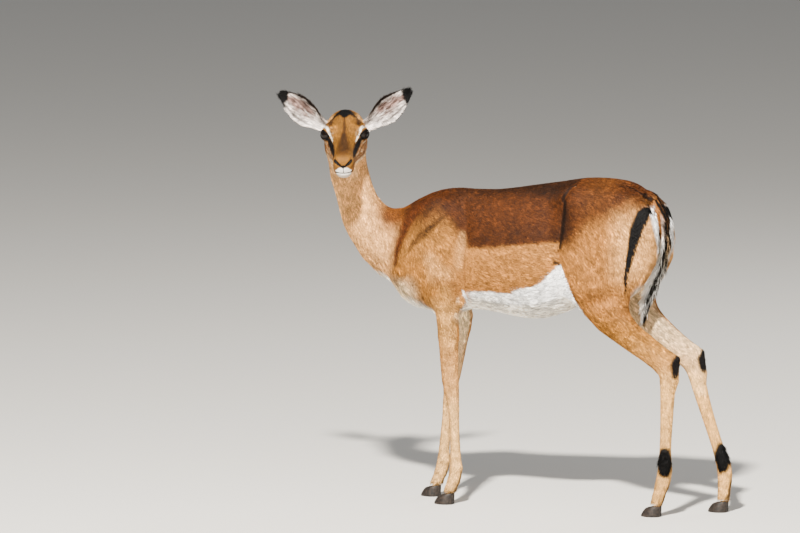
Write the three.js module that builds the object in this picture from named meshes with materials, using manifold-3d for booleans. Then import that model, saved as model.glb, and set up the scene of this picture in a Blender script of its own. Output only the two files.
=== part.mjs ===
// A life-size impala ewe, standing alert with her head turned to her left.
// Millimetres. +X points to her front, +Y to her left, +Z up, and the floor is at z = 0.
//
// The flesh is one smooth field, below zero inside it: a body swept from a few named
// sections, with muscles and legs blended in. Each part is a loft whose rings are found by
// casting rays from a spine to the surface of that field, and neighbours meet at a thin cut.
import * as THREE from "three";
import { mergeVertices } from "three/addons/utils/BufferGeometryUtils.js";
import Module from "manifold-3d";

const wasm = await Module();
wasm.setup();

// ---- Driving dimensions -------------------------------------------------------------

const GAP = 0.4; // clearance left at every cut between two parts
const DEGREE = Math.PI / 180;
const CENTRE = [107.3, 56.2]; // the model is shifted so that its box is centred on the origin

// The body without its muscles: [x, top of the back, belly line, half-width, egg],
// where a positive egg makes a section narrower at the top than at the belly.
const BODY = [
  [-298, 800, 660, 42, 0.05],
  [-272, 832, 622, 68, 0.08],
  [-235, 850, 594, 84, 0.12],
  [-175, 858, 566, 92, 0.16],
  [-110, 856, 530, 97, 0.18],
  [-50, 846, 501, 104, 0.18],
  [10, 836, 485, 112, 0.16],
  [70, 826, 487, 114, 0.16],
  [130, 818, 497, 108, 0.2],
  [190, 817, 500, 96, 0.28],
  [250, 818, 498, 82, 0.34],
  [310, 803, 496, 70, 0.3],
  [360, 762, 500, 58, 0.2],
  [412, 690, 526, 42, 0.1],
];

// The neck: [x, y, z, half-depth front to back, half-width].
const NECK = [
  [330, 0, 668, 108, 66],
  [399, 0, 655, 99, 58],
  [462, 3, 684, 77, 50],
  [508, 10, 738, 60, 44],
  [526, 17, 796, 50, 41],
  [537, 25, 850, 45, 40],
  [543, 31, 905, 42, 39],
  [544, 36, 945, 38, 36],
];

// The throat below the jaw, as rows like the neck's.
const THROAT = [
  [535, 62, 903, 47, 48],
  [539, 42, 868, 47, 45],
  [540, 23, 828, 46, 41],
];

// Muscles and bones that stand out on each side: centre (left side), half-sizes,
// and how far the top leans back, in degrees.
const MUSCLES = {
  shoulder: { at: [304, 52, 668], size: [70, 32, 130], lean: 16, blend: 30 },
  shoulder_point: { at: [348, 52, 610], size: [38, 32, 54], lean: 10, blend: 30 },
  upper_arm: { at: [272, 62, 590], size: [72, 33, 60], lean: -24, blend: 30 },
  haunch: { at: [-196, 58, 712], size: [118, 46, 116], lean: 8, blend: 30 },
  thigh: { at: [-196, 70, 620], size: [98, 42, 96], lean: -22, blend: 30 },
  buttock: { at: [-276, 58, 690], size: [56, 36, 108], lean: 6, blend: 20 },
  hip_bone: { at: [-96, 58, 800], size: [34, 24, 34], lean: 0, blend: 36 },
};

// Legs, from the top down: the joints of each leg, and for all of them the half-sizes
// [front to back, side to side] at those joints.
const FORE_SIZES = [
  [52, 34], [37, 29], [28, 22], [24, 19.5], [22, 20],
  [16, 15], [13.5, 12.5], [14.5, 13.5], [18, 16.5], [15, 16],
];
const HIND_SIZES = [
  [62, 38], [50, 33], [37, 25], [28, 19], [31, 18.5],
  [20, 16], [17, 14], [16.5, 14.5], [20, 18], [15.5, 16.5],
];
const LEGS = {
  foreleg_left: {
    sizes: FORE_SIZES,
    joints: [
      [262, 72, 560], [243, 72, 494], [240, 70, 420], [238, 69, 355], [235, 68, 312],
      [229, 67, 268], [225, 66, 190], [223, 65, 122], [222, 65, 82], [240, 65, 32],
    ],
  },
  foreleg_right: {
    sizes: FORE_SIZES,
    joints: [
      [270, -72, 560], [262, -72, 494], [272, -70, 420], [282, -68, 355], [290, -67, 312],
      [296, -66, 268], [304, -65, 190], [310, -64, 122], [313, -64, 82], [333, -64, 32],
    ],
  },
  hindleg_left: {
    sizes: HIND_SIZES,
    joints: [
      [-165, 80, 566], [-205, 79, 514], [-268, 76, 458], [-328, 74, 412], [-370, 73, 378],
      [-367, 73, 320], [-364, 73, 240], [-361, 74, 160], [-359, 74, 106], [-338, 75, 34],
    ],
  },
  hindleg_right: {
    sizes: HIND_SIZES,
    joints: [
      [-185, -80, 566], [-222, -79, 516], [-284, -76, 460], [-340, -74, 414], [-384, -73, 378],
      [-396, -73, 322], [-423, -73, 238], [-450, -74, 160], [-467, -74, 106], [-463, -75, 34],
    ],
  },
};
const HOCK_POINT = { back: 30, up: 22, size: 13 }; // the heel bone behind and above the hock
const ROD_BLEND = 4;

// The planes where the legs leave the trunk: level in front, rising towards the tail behind.
const FORE_CUT_Z = 489;
const HIND_CUT = { x: -90, z: 496, slope: 0.38 };

// The head, in its own frame: x from the back of the skull to the nose, z up.
// [x, top, bottom, half-width, how much narrower the top is].
const HEAD = [
  [-14, 20, -34, 26, -0.05],
  [8, 38, -52, 43, -0.12],
  [34, 47, -62, 50, -0.08],
  [62, 47, -67, 52, 0.08],
  [92, 40, -66, 47, 0.18],
  [120, 34, -59, 41, 0.22],
  [148, 29, -52, 34, 0.2],
  [174, 26, -49, 29, 0.14],
  [194, 24, -49, 28, 0.06],
  [210, 21, -47, 27, 0.02],
  [221, 13, -39, 23, 0.0],
];
const HEAD_AT = [543, 36, 981];
const HEAD_TURN = 111.6; // from +X towards +Y
const HEAD_PITCH = 26; // nose down
const HEAD_ROLL = 1.4; // her left side up

const EYE = { at: [90, 43.5, 13], radius: 18.5 };
const EAR = {
  base: [32, 42, -5],
  length: 159,
  rise: 36.5, // above level, to the side
  sweep: 6, // tips back
  facing: 8, // the mouth of the ear turns down by this much
};

// The outline of an ear: [share of its length, half-width, half-angle of its cup, thickness].
const EAR_OUTLINE = [
  [0, 15, 100, 6],
  [0.13, 18, 92, 6],
  [0.24, 24, 76, 5.5],
  [0.38, 33, 62, 5],
  [0.5, 36.5, 52, 4.5],
  [0.6, 35.5, 44, 4.5],
  [0.7, 30.5, 38, 4],
  [0.8, 24, 32, 4],
  [0.89, 17.5, 26, 4],
  [0.95, 13, 20, 3.5],
  [1, 7.5, 14, 3],
];

// The tail: [x, z, half-thickness, half-width].
const TAIL = [
  [-262, 826, 15, 16],
  [-300, 806, 15, 17],
  [-326, 765, 13, 18],
  [-332, 705, 12, 21],
  [-322, 645, 12, 22],
  [-300, 590, 11, 21],
  [-280, 545, 9, 16],
  [-270, 488, 4, 5],
];

// One claw of a hoof; its middle is `ahead` of the foot's last joint, and `toe_out` is in degrees.
const HOOF = { length: 52, width: 17, height: 30, cleft: 4.6, toe_out: 4, ahead: 14 };

// ---- Fields ---------------------------------------------------------------------------

// A smooth minimum: joins two fields with a fillet about `blend` wide.
function join(a, b, blend) {
  const near = Math.max(blend - Math.abs(a - b), 0) / blend;
  return Math.min(a, b) - (near * near * blend) / 4;
}

// The row of a table at x, by a smooth curve through its rows.
function rowAt(table, x) {
  const last = table.length - 1;
  const at = THREE.MathUtils.clamp(x, table[0][0], table[last][0]);
  let i = 0;
  while (i < last - 1 && table[i + 1][0] < at) i++;
  const [a, b] = [table[i], table[i + 1]];
  const [before, after] = [table[Math.max(i - 1, 0)], table[Math.min(i + 2, last)]];
  const span = b[0] - a[0];
  const t = (at - a[0]) / span;
  return a.map((value, k) => {
    const slopeA = ((b[k] - before[k]) / (b[0] - before[0])) * span;
    const slopeB = ((after[k] - a[k]) / (after[0] - a[0])) * span;
    const rise = t * t * (3 - 2 * t);
    const ends = (1 - rise) * value + rise * b[k];
    return ends + t * (1 - t) * ((1 - t) * slopeA - t * slopeB);
  });
}

const END_SLOPE = 2.5; // how bluntly a swept body ends

// A body swept along x from a table of [x, top, bottom, half-width, egg].
function swept(table) {
  const [first, last] = [table[0][0], table[table.length - 1][0]];
  return (p) => {
    const [, top, bottom, half, egg] = rowAt(table, p.x);
    const tall = (top - bottom) / 2;
    const z = (p.z - (top + bottom) / 2) / tall;
    const y = p.y / (half * (1 - egg * THREE.MathUtils.clamp(z, -1, 1)));
    const beyond = Math.max(first - p.x, p.x - last, 0);
    return (Math.hypot(y, z) - 1) * Math.min(half, tall) + END_SLOPE * beyond;
  };
}

// An ellipsoid whose top leans towards -x.
function muscle({ at, size, lean }, side) {
  const [c, s] = [Math.cos(lean * DEGREE), Math.sin(lean * DEGREE)];
  const smallest = Math.min(...size);
  return (p) => {
    const [x, y, z] = [p.x - at[0], p.y - at[1] * side, p.z - at[2]];
    const [deep, wide, tall] = [(x * c + z * s) / size[0], y / size[1], (z * c - x * s) / size[2]];
    return (Math.hypot(deep, wide, tall) - 1) * smallest;
  };
}

// The rows of a table with more rows on a smooth curve between them.
function refined(rows, steps) {
  const made = [rows[0]];
  for (let i = 0; i + 1 < rows.length; i++) {
    const [a, b] = [rows[i], rows[i + 1]];
    const before = rows[Math.max(i - 1, 0)];
    const after = rows[Math.min(i + 2, rows.length - 1)];
    for (let step = 1; step <= steps; step++) {
      const t = step / steps;
      made.push(a.map((value, k) => {
        const slope = b[k] - before[k];
        const bend = 2 * before[k] - 5 * value + 4 * b[k] - after[k];
        const twist = 3 * (value - b[k]) + after[k] - before[k];
        return value + 0.5 * t * (slope + t * (bend + t * twist));
      }));
    }
  }
  return made;
}

// A chain of tapered rods with oval sections, from rows of [x, y, z, half-depth, half-width].
function chain(rows, blend) {
  const points = rows.map((row) => row.slice(0, 3));
  const sizes = rows.map((row) => row.slice(3));
  const rods = points.slice(1).map((end, i) => {
    const a = new THREE.Vector3(...points[i]);
    const along = new THREE.Vector3(...end).sub(a);
    return { a, along, length2: along.lengthSq(), from: sizes[i], to: sizes[i + 1] };
  });
  const v = new THREE.Vector3();
  const FAR = 60;
  const near = new THREE.Box3()
    .setFromPoints(points.map((at) => new THREE.Vector3(...at)))
    .expandByScalar(Math.max(...sizes.flat()) + FAR);
  return (p) => {
    if (!near.containsPoint(p)) return FAR;
    let found = Infinity;
    for (const { a, along, length2, from, to } of rods) {
      v.subVectors(p, a);
      const t = THREE.MathUtils.clamp(v.dot(along) / length2, 0, 1);
      v.addScaledVector(along, -t);
      const deep = from[0] + (to[0] - from[0]) * t;
      const wide = from[1] + (to[1] - from[1]) * t;
      const off = (Math.hypot(v.x / deep, v.z / deep, v.y / wide) - 1) * Math.min(deep, wide);
      found = found === Infinity ? off : join(found, off, blend);
    }
    return found;
  };
}

const bodyField = swept(BODY);
const neckField = chain(refined(NECK, 4), 3);
const throatField = chain(THROAT, 3);
const muscleFields = Object.values(MUSCLES).flatMap((m) =>
  [1, -1].map((side) => ({ field: muscle(m, side), blend: m.blend })),
);
const legFields = Object.fromEntries(
  Object.entries(LEGS).map(([name, leg]) => {
    const shaft = chain(refined(leg.joints.map((joint, i) => [...joint, ...leg.sizes[i]]), 3), ROD_BLEND);
    if (name.startsWith("fore")) return [name, shaft];
    const [hock, above] = [leg.joints[4], leg.joints[3]];
    const heel = [hock[0] - HOCK_POINT.back, hock[1], hock[2] + HOCK_POINT.up];
    const tendon = chain(
      [
        [...hock, 17, 13],
        [...heel, HOCK_POINT.size, 11],
        [(heel[0] + above[0]) / 2 - 6, above[1], (heel[2] + above[2]) / 2 + 14, 9, 7],
        [above[0] + 20, above[1], above[2] + 46, 16, 12],
      ],
      ROD_BLEND,
    );
    return [name, (p) => join(shaft(p), tendon(p), 10)];
  }),
);

// Everything but the head, ears, tail and hooves.
function flesh(p) {
  let found = join(bodyField(p), join(neckField(p), throatField(p), 20), 26);
  for (const { field, blend } of muscleFields) found = join(found, field(p), blend);
  for (const leg of Object.values(legFields)) found = join(found, leg(p), 22);
  return found;
}

// How far a point lies below each cut.
const foreCut = (p) => FORE_CUT_Z - p.z;
const hindCut = (p) =>
  (HIND_CUT.z + HIND_CUT.slope * (HIND_CUT.x - p.x) - p.z) / Math.hypot(1, HIND_CUT.slope);

// The flesh above the cuts through the legs.
function trunkField(p) {
  let cut = -Infinity;
  if (p.x > 120) cut = foreCut(p);
  else if (p.x < HIND_CUT.x + 20) cut = hindCut(p);
  return Math.max(flesh(p), cut + GAP / 2);
}

// ---- Lofts ------------------------------------------------------------------------------

// A ring of rays from `centre`, `open` radians away from `axis`: a flat ring until it is changed.
function station(centre, axis, side) {
  const up = new THREE.Vector3().crossVectors(axis, side).normalize();
  const across = new THREE.Vector3().crossVectors(up, axis).normalize();
  return { centre, axis, up, across, open: 90 * DEGREE };
}

// The distance from a point inside to the surface of a field along a ray.
function reach(field, centre, ray) {
  const STEP = 3;
  const FURTHEST = 420;
  const p = new THREE.Vector3();
  const value = (r) => field(p.copy(centre).addScaledVector(ray, r));
  let outside = STEP;
  while (value(outside) < 0 && outside < FURTHEST) outside += STEP;
  let inside = outside - STEP;
  for (let i = 0; i < 14; i++) {
    const middle = (inside + outside) / 2;
    if (value(middle) < 0) inside = middle;
    else outside = middle;
  }
  return (inside + outside) / 2;
}

// A closed mesh from rings of points, with a point at each end.
function closedMesh(rings, start, end) {
  const count = rings[0].length;
  const points = [start, ...rings.flat(), end];
  const index = [];
  const at = (ring, ray) => 1 + ring * count + (ray % count);
  for (let j = 0; j < count; j++) {
    index.push(0, at(0, j + 1), at(0, j));
    index.push(points.length - 1, at(rings.length - 1, j), at(rings.length - 1, j + 1));
  }
  for (let i = 0; i + 1 < rings.length; i++) {
    for (let j = 0; j < count; j++) {
      const [a, b, c, d] = [at(i, j), at(i, j + 1), at(i + 1, j + 1), at(i + 1, j)];
      // Each quad is split along its shorter diagonal.
      if (points[a].distanceTo(points[c]) < points[b].distanceTo(points[d])) index.push(a, b, c, a, c, d);
      else index.push(a, b, d, b, c, d);
    }
  }
  const made = new THREE.BufferGeometry().setFromPoints(points);
  made.setIndex(index);
  return facingOut(made);
}

// The same geometry with its faces turned outwards.
function facingOut(geometry) {
  const at = geometry.getAttribute("position");
  const index = geometry.index.array;
  const [a, b, c] = [new THREE.Vector3(), new THREE.Vector3(), new THREE.Vector3()];
  let volume = 0;
  for (let i = 0; i < index.length; i += 3) {
    a.fromBufferAttribute(at, index[i]);
    b.fromBufferAttribute(at, index[i + 1]);
    c.fromBufferAttribute(at, index[i + 2]);
    volume += a.dot(b.cross(c));
  }
  if (volume < 0) geometry.setIndex(Array.from(index).reverse());
  return geometry;
}

// A smooth curve through points.
function curveThrough(points) {
  return new THREE.CatmullRomCurve3(points.map((p) => new THREE.Vector3(...p)), false, "centripetal");
}

// A loft on a field. A ring that isn't flat is part of a rounded end, whose tip is cast too.
function loft(field, stations, rays) {
  const cast = ({ centre, axis, up, across, open }, angle) => {
    const ray = new THREE.Vector3()
      .addScaledVector(across, Math.sin(open) * Math.cos(angle))
      .addScaledVector(up, Math.sin(open) * Math.sin(angle))
      .addScaledVector(axis, Math.cos(open))
      .normalize();
    return centre.clone().addScaledVector(ray, reach(field, centre, ray));
  };
  const tip = (s) => {
    if (Math.abs(Math.cos(s.open)) < 0.01) return s.centre.clone();
    const ray = s.axis.clone().multiplyScalar(Math.sign(Math.cos(s.open)));
    return s.centre.clone().addScaledVector(ray, reach(field, s.centre, ray));
  };
  const rings = stations.map((s) =>
    Array.from({ length: rays }, (_, j) => cast(s, (2 * Math.PI * j) / rays)),
  );
  return closedMesh(rings, tip(stations[0]), tip(stations[stations.length - 1]));
}

// Flat stations along a curve, from distance `from` to `to`, with a side that may turn.
function along(curve, from, to, count, sideAt) {
  const length = curve.getLength();
  return Array.from({ length: count }, (_, i) => {
    const u = (from + ((to - from) * i) / (count - 1)) / length;
    return station(curve.getPointAt(u), curve.getTangentAt(u), sideAt(u));
  });
}

// ---- Solids -----------------------------------------------------------------------------

// A closed geometry as a manifold-3d solid, and back.
function solid(geometry) {
  const bare = geometry.clone();
  bare.deleteAttribute("normal");
  bare.deleteAttribute("uv");
  const merged = mergeVertices(bare, 1e-3);
  return new wasm.Manifold(
    new wasm.Mesh({
      numProp: 3,
      vertProperties: new Float32Array(merged.getAttribute("position").array),
      triVerts: new Uint32Array(merged.index.array),
    }),
  );
}

function geometryOf(made) {
  const mesh = made.getMesh();
  const geometry = new THREE.BufferGeometry();
  geometry.setAttribute("position", new THREE.BufferAttribute(new Float32Array(mesh.vertProperties), 3));
  geometry.setIndex(new THREE.BufferAttribute(new Uint32Array(mesh.triVerts), 1));
  geometry.computeVertexNormals();
  return geometry;
}

// The largest piece of a solid, without the crumbs that a cut can leave.
function largest(made) {
  return made.decompose().sort((a, b) => b.volume() - a.volume())[0];
}

const materials = {
  saddle: new THREE.MeshStandardMaterial({ color: 0x9c5a2c, roughness: 0.75 }),
  fawn: new THREE.MeshStandardMaterial({ color: 0xc08a58, roughness: 0.75 }),
  tail: new THREE.MeshStandardMaterial({ color: 0xe8e2d8, roughness: 0.8 }),
  ear: new THREE.MeshStandardMaterial({ color: 0xb98658, roughness: 0.8 }),
  hoof: new THREE.MeshStandardMaterial({ color: 0x1d1a18, roughness: 0.45 }),
  eye: new THREE.MeshStandardMaterial({ color: 0x120c08, roughness: 0.05 }),
};

const impala = new THREE.Group();
const model = new THREE.Group();
model.position.set(-CENTRE[0], -CENTRE[1], 0);
impala.add(model);

function add(name, geometry, material) {
  const mesh = new THREE.Mesh(geometry, material);
  mesh.name = name;
  model.add(mesh);
}

// ---- Trunk and neck -----------------------------------------------------------------------

const LEFT = new THREE.Vector3(0, 1, 0);
const headLeft = new THREE.Vector3(
  Math.cos((HEAD_TURN + 90) * DEGREE),
  Math.sin((HEAD_TURN + 90) * DEGREE),
  0,
);
const spine = curveThrough([
  [-225, 0, 730], [-120, 0, 712], [0, 0, 690], [120, 0, 684], [230, 0, 690], [330, 0, 700],
  [405, 1, 706], [464, 5, 722], [502, 12, 762], ...NECK.slice(4).map((row) => row.slice(0, 3)),
]);
const NECK_FROM = 610; // distance along the spine where the neck leaves the trunk

// The side of a ring: her left, turned with the neck towards the side of the head.
function spineSide(u) {
  const turned = THREE.MathUtils.smoothstep(u * spine.getLength(), NECK_FROM, spine.getLength());
  return LEFT.clone().lerp(headLeft, turned * 0.8).normalize();
}

function trunk(grow) {
  const rays = 34;
  const body = along(spine, 0, NECK_FROM - GAP / 2, 25, spineSide);
  const rear = body[0];
  const backwards = rear.axis.clone().negate();
  const rump = [12, 26, 40, 54, 68, 80].map((open) => ({ ...rear, axis: backwards, open: open * DEGREE }));
  return loft((p) => trunkField(p) - grow, [...rump, ...body], rays);
}

add("trunk", trunk(0), materials.saddle);

// ---- Head ----------------------------------------------------------------------------------

const headPlace = new THREE.Matrix4()
  .makeTranslation(...HEAD_AT)
  .multiply(new THREE.Matrix4().makeRotationZ(HEAD_TURN * DEGREE))
  .multiply(new THREE.Matrix4().makeRotationY(HEAD_PITCH * DEGREE))
  .multiply(new THREE.Matrix4().makeRotationX(HEAD_ROLL * DEGREE));
const intoHead = headPlace.clone().invert();

const FACE = {
  brow: { at: [84, 34, 26], size: [26, 17, 13], lean: 0, blend: 12 },
  cheek: { at: [70, 31, -34], size: [46, 22, 30], lean: 20, blend: 20 },
  orbit: { at: [86, 38, 12], size: [25, 20, 20], lean: 0, blend: 12 },
  nostril: { at: [209, 13, 3], size: [16, 12, 14], lean: 0, blend: 10 },
  lip: { at: [200, 12, -32], size: [20, 13, 12], lean: 0, blend: 12 },
};
const skull = swept(HEAD);
const faceFields = Object.values(FACE).flatMap((m) =>
  [1, -1].map((side) => ({ field: muscle(m, side), blend: m.blend })),
);
function headField(p) {
  let found = skull(p);
  for (const { field, blend } of faceFields) found = join(found, field(p), blend);
  return found;
}

// The head in its own frame, grown by `grow`.
function headLoft(grow, rays, rings) {
  const field = (p) => headField(p) - grow;
  const axis = new THREE.Vector3(1, 0, 0);
  const [from, to] = [26, 206];
  const middle = Array.from({ length: rings }, (_, i) => {
    const x = from + ((to - from) * i) / (rings - 1);
    const [, top, bottom] = rowAt(HEAD, x);
    return station(new THREE.Vector3(x, 0, (top + bottom) / 2), axis, LEFT);
  });
  const [back, front] = [middle[0], middle[middle.length - 1]];
  const skullBack = [165, 148, 130, 112].map((open) => ({ ...back, open: open * DEGREE }));
  const nose = [72, 54, 36, 18].map((open) => ({ ...front, open: open * DEGREE }));
  return loft(field, [...skullBack, ...middle, ...nose], rays);
}

function ball(at, radius, segments) {
  return new THREE.SphereGeometry(radius, segments, Math.round(segments / 2)).translate(...at);
}

const onSide = ([x, y, z], side) => [x, y * side, z];
const eyeCutters = [1, -1].map((side) => solid(ball(onSide(EYE.at, side), EYE.radius + GAP, 16)));
const head = eyeCutters.reduce((made, cutter) => made.subtract(cutter), solid(headLoft(0, 24, 19)));
add("head", geometryOf(head).applyMatrix4(headPlace), materials.fawn);
for (const [name, side] of [["eye_left", 1], ["eye_right", -1]]) {
  const eye = solid(ball(onSide(EYE.at, side), EYE.radius, 16));
  add(name, geometryOf(eye).applyMatrix4(headPlace), materials.eye);
}
const headCutter = solid(headLoft(GAP + 0.6, 24, 19).applyMatrix4(headPlace));

const THROAT_AHEAD = 84; // how far under the jaw the neck reaches

// The neck runs up into the back of the head and is cut to fit it.
function neck() {
  const throat = new THREE.Vector3();
  const field = (p) => {
    throat.copy(p).applyMatrix4(intoHead);
    const joined = join(flesh(p), headField(throat), 26);
    const [x, y] = [p.x - HEAD_AT[0], p.y - HEAD_AT[1]];
    const ahead = x * Math.cos(HEAD_TURN * DEGREE) + y * Math.sin(HEAD_TURN * DEGREE);
    return p.z > 850 ? Math.max(joined, ahead - THROAT_AHEAD) : joined;
  };
  const stations = along(spine, NECK_FROM + GAP / 2, spine.getLength() - 2, 13, spineSide);
  const top = stations[stations.length - 1];
  const nape = [66, 40].map((open) => ({ ...top, open: open * DEGREE }));
  return solid(loft(field, [...stations, ...nape], 24)).subtract(headCutter);
}

add("neck", geometryOf(largest(neck())), materials.fawn);

// ---- Ears ------------------------------------------------------------------------------------

// A leaf-shaped cup: each ring is a crescent, deep at the root and flat at the tip.
function ear() {
  const across = 7;
  const rings = EAR_OUTLINE.map(([t, half, bend, thick]) => {
    const angle = bend * DEGREE;
    const radius = half / Math.sin(Math.min(angle, Math.PI / 2));
    const arc = (r, from, to) =>
      Array.from({ length: across }, (_, j) => {
        const a = from + ((to - from) * j) / (across - 1);
        return new THREE.Vector3(t * EAR.length, r * Math.sin(a), radius - r * Math.cos(a));
      });
    const inner = angle * (1 - 0.2 * (thick / half));
    return [...arc(radius, -angle, angle), ...arc(radius - thick, inner, -inner)];
  });
  const middle = (ring) =>
    ring[(across - 1) / 2].clone().add(ring[across + (across - 1) / 2]).multiplyScalar(0.5);
  return closedMesh(rings, middle(rings[0]), middle(rings[rings.length - 1]));
}

// An ear stands on the head, but its rise is measured from level.
function earPlace(side) {
  return headPlace
    .clone()
    .multiply(new THREE.Matrix4().makeTranslation(...onSide(EAR.base, side)))
    .multiply(new THREE.Matrix4().makeRotationY(-HEAD_PITCH * DEGREE))
    .multiply(new THREE.Matrix4().makeRotationZ((90 + EAR.sweep) * side * DEGREE))
    .multiply(new THREE.Matrix4().makeRotationY(-EAR.rise * DEGREE))
    .multiply(new THREE.Matrix4().makeRotationX((90 + EAR.facing) * side * DEGREE));
}

for (const [name, side] of [["ear_left", 1], ["ear_right", -1]]) {
  const leaf = facingOut(ear().applyMatrix4(earPlace(side)));
  add(name, geometryOf(largest(solid(leaf).subtract(headCutter))), materials.ear);
}

// ---- Tail -------------------------------------------------------------------------------------

function tail() {
  const rows = TAIL.map(([x, z, deep, wide]) => [x, 0, z, deep, wide]);
  const field = chain(rows, 12);
  const curve = curveThrough(rows.map((row) => row.slice(0, 3)));
  const stations = along(curve, 8, curve.getLength() - 4, 13, () => LEFT);
  return solid(loft(field, stations, 10));
}

const trunkCutter = solid(trunk(GAP));
add("tail", geometryOf(largest(tail().subtract(trunkCutter))), materials.tail);

// ---- Legs and hooves ---------------------------------------------------------------------------

const SECTIONS = {
  fore: ["forearm", "cannon", "pastern"],
  hind: ["gaskin", "cannon", "pastern"],
};

// One leg: three lofts down the chain of joints, cut at the knee or hock and at the fetlock.
function leg(name, { joints }) {
  const fore = name.startsWith("fore");
  const curve = curveThrough(joints);
  const length = curve.getLength();
  // The distance along the curve of a joint, found by walking it.
  const distanceTo = (joint) => {
    const target = new THREE.Vector3(...joints[joint]);
    let [best, nearest] = [0, Infinity];
    for (let d = 0; d <= length; d += 1) {
      const off = curve.getPointAt(d / length).distanceTo(target);
      if (off < nearest) [best, nearest] = [d, off];
    }
    return best;
  };
  const bottom = { cannon: distanceTo(5), pastern: distanceTo(8) + 8 };
  const cut = fore ? foreCut : hindCut;
  const cutNormal = new THREE.Vector3(fore ? 0 : -HIND_CUT.slope, 0, -1).normalize();
  let start = 0;
  while (cut(curve.getPointAt(start / length)) <= 0) start += 0.25;
  const below = (p) => Math.max(flesh(p), HOOF.height + GAP - p.z, GAP / 2 - cut(p));
  const spans = [
    [start, bottom.cannon, fore ? 9 : 10],
    [bottom.cannon, bottom.pastern, 10],
    [bottom.pastern, length, 5],
  ];
  const names = SECTIONS[fore ? "fore" : "hind"];
  spans.forEach(([from, to, rings], i) => {
    const stations = along(curve, from + GAP / 2 + (i === 0 ? 0.5 : 0), to - GAP / 2, rings, () => LEFT);
    if (i === 0) stations[0] = station(stations[0].centre, cutNormal, LEFT);
    add(`${name}_${names[i]}`, loft(below, stations, 12), materials.fawn);
  });
}

for (const [name, shape] of Object.entries(LEGS)) leg(name, shape);

// One half of a cloven hoof: flat below, flat on its inner side, drawn out to a toe.
function hoof(side) {
  const { length, width, height } = HOOF;
  const outline = (grow, shift, z, lift) => {
    const points = [];
    const count = 12;
    for (let j = 0; j < count; j++) {
      const a = (2 * Math.PI * j) / count;
      const forward = Math.cos(a);
      const out = Math.max(Math.sin(a), -0.12);
      const taper = 1 - 0.55 * Math.max(forward, 0) ** 2;
      points.push(new THREE.Vector3(
        forward * (length / 2) * grow + shift,
        side * (out * width * taper * grow + 0.12 * width),
        z + lift * forward,
      ));
    }
    return points;
  };
  const rings = [
    outline(0.96, 0, 0, 0),
    outline(1, 0, 3, 0),
    outline(0.92, -2, height * 0.45, -2),
    outline(0.8, -6, height * 0.82, -4),
    outline(0.66, -8, height - 3, -3),
  ];
  const centre = (ring) =>
    ring.reduce((sum, p) => sum.add(p), new THREE.Vector3()).divideScalar(ring.length);
  return closedMesh(rings, centre(rings[0]), centre(rings[rings.length - 1]));
}

for (const [name, { joints }] of Object.entries(LEGS)) {
  const toe = joints[joints.length - 1];
  for (const [claw, side] of [["inner", -Math.sign(toe[1])], ["outer", Math.sign(toe[1])]]) {
    const place = new THREE.Matrix4()
      .makeTranslation(toe[0] + HOOF.ahead, toe[1] + (side * HOOF.cleft) / 2, 0)
      .multiply(new THREE.Matrix4().makeRotationZ(side * HOOF.toe_out * DEGREE));
    add(`${name}_hoof_${claw}`, facingOut(hoof(side).applyMatrix4(place)), materials.hoof);
  }
}

export default impala;
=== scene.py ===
"""An impala ewe as a still, life-size model: skin, coat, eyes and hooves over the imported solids.

Shapes are worked out in millimetres in the animal's own frame: +X to her front, +Y to her
left, +Z up, with the floor at z = 0. `to_row` turns them into the row frame's metres.
"""

import math

import bmesh
import bpy
import numpy as np
from mathutils.bvhtree import BVHTree
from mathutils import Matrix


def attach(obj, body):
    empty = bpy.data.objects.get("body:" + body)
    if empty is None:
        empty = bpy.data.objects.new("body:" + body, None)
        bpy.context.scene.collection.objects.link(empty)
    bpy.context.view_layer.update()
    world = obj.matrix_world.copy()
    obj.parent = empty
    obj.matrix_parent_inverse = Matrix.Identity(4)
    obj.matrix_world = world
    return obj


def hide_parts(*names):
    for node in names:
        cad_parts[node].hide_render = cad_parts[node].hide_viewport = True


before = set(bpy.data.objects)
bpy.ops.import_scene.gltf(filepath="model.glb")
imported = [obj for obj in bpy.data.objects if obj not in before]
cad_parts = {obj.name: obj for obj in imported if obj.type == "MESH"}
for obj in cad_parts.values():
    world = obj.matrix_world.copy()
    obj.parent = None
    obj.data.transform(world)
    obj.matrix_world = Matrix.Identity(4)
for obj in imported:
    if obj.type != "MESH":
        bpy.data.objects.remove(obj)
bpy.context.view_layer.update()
rng = np.random.default_rng(7)

# ---- Frames and measures ---------------------------------------------------------------------

CENTRE = np.array([107.3, 56.2, 0.0])
FLESH = ["trunk", "neck", "head", "ear_left", "ear_right", "tail"] + [
    f"{leg}_{part}"
    for leg, parts in {
        "foreleg_left": ("forearm", "cannon", "pastern"),
        "foreleg_right": ("forearm", "cannon", "pastern"),
        "hindleg_left": ("gaskin", "cannon", "pastern"),
        "hindleg_right": ("gaskin", "cannon", "pastern"),
    }.items()
    for part in parts
]
IS = {name: number for number, name in enumerate(FLESH)}
EYE_AT = np.array([90.0, 43.5, 13.0])
EYE_RADIUS = 18.2

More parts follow.
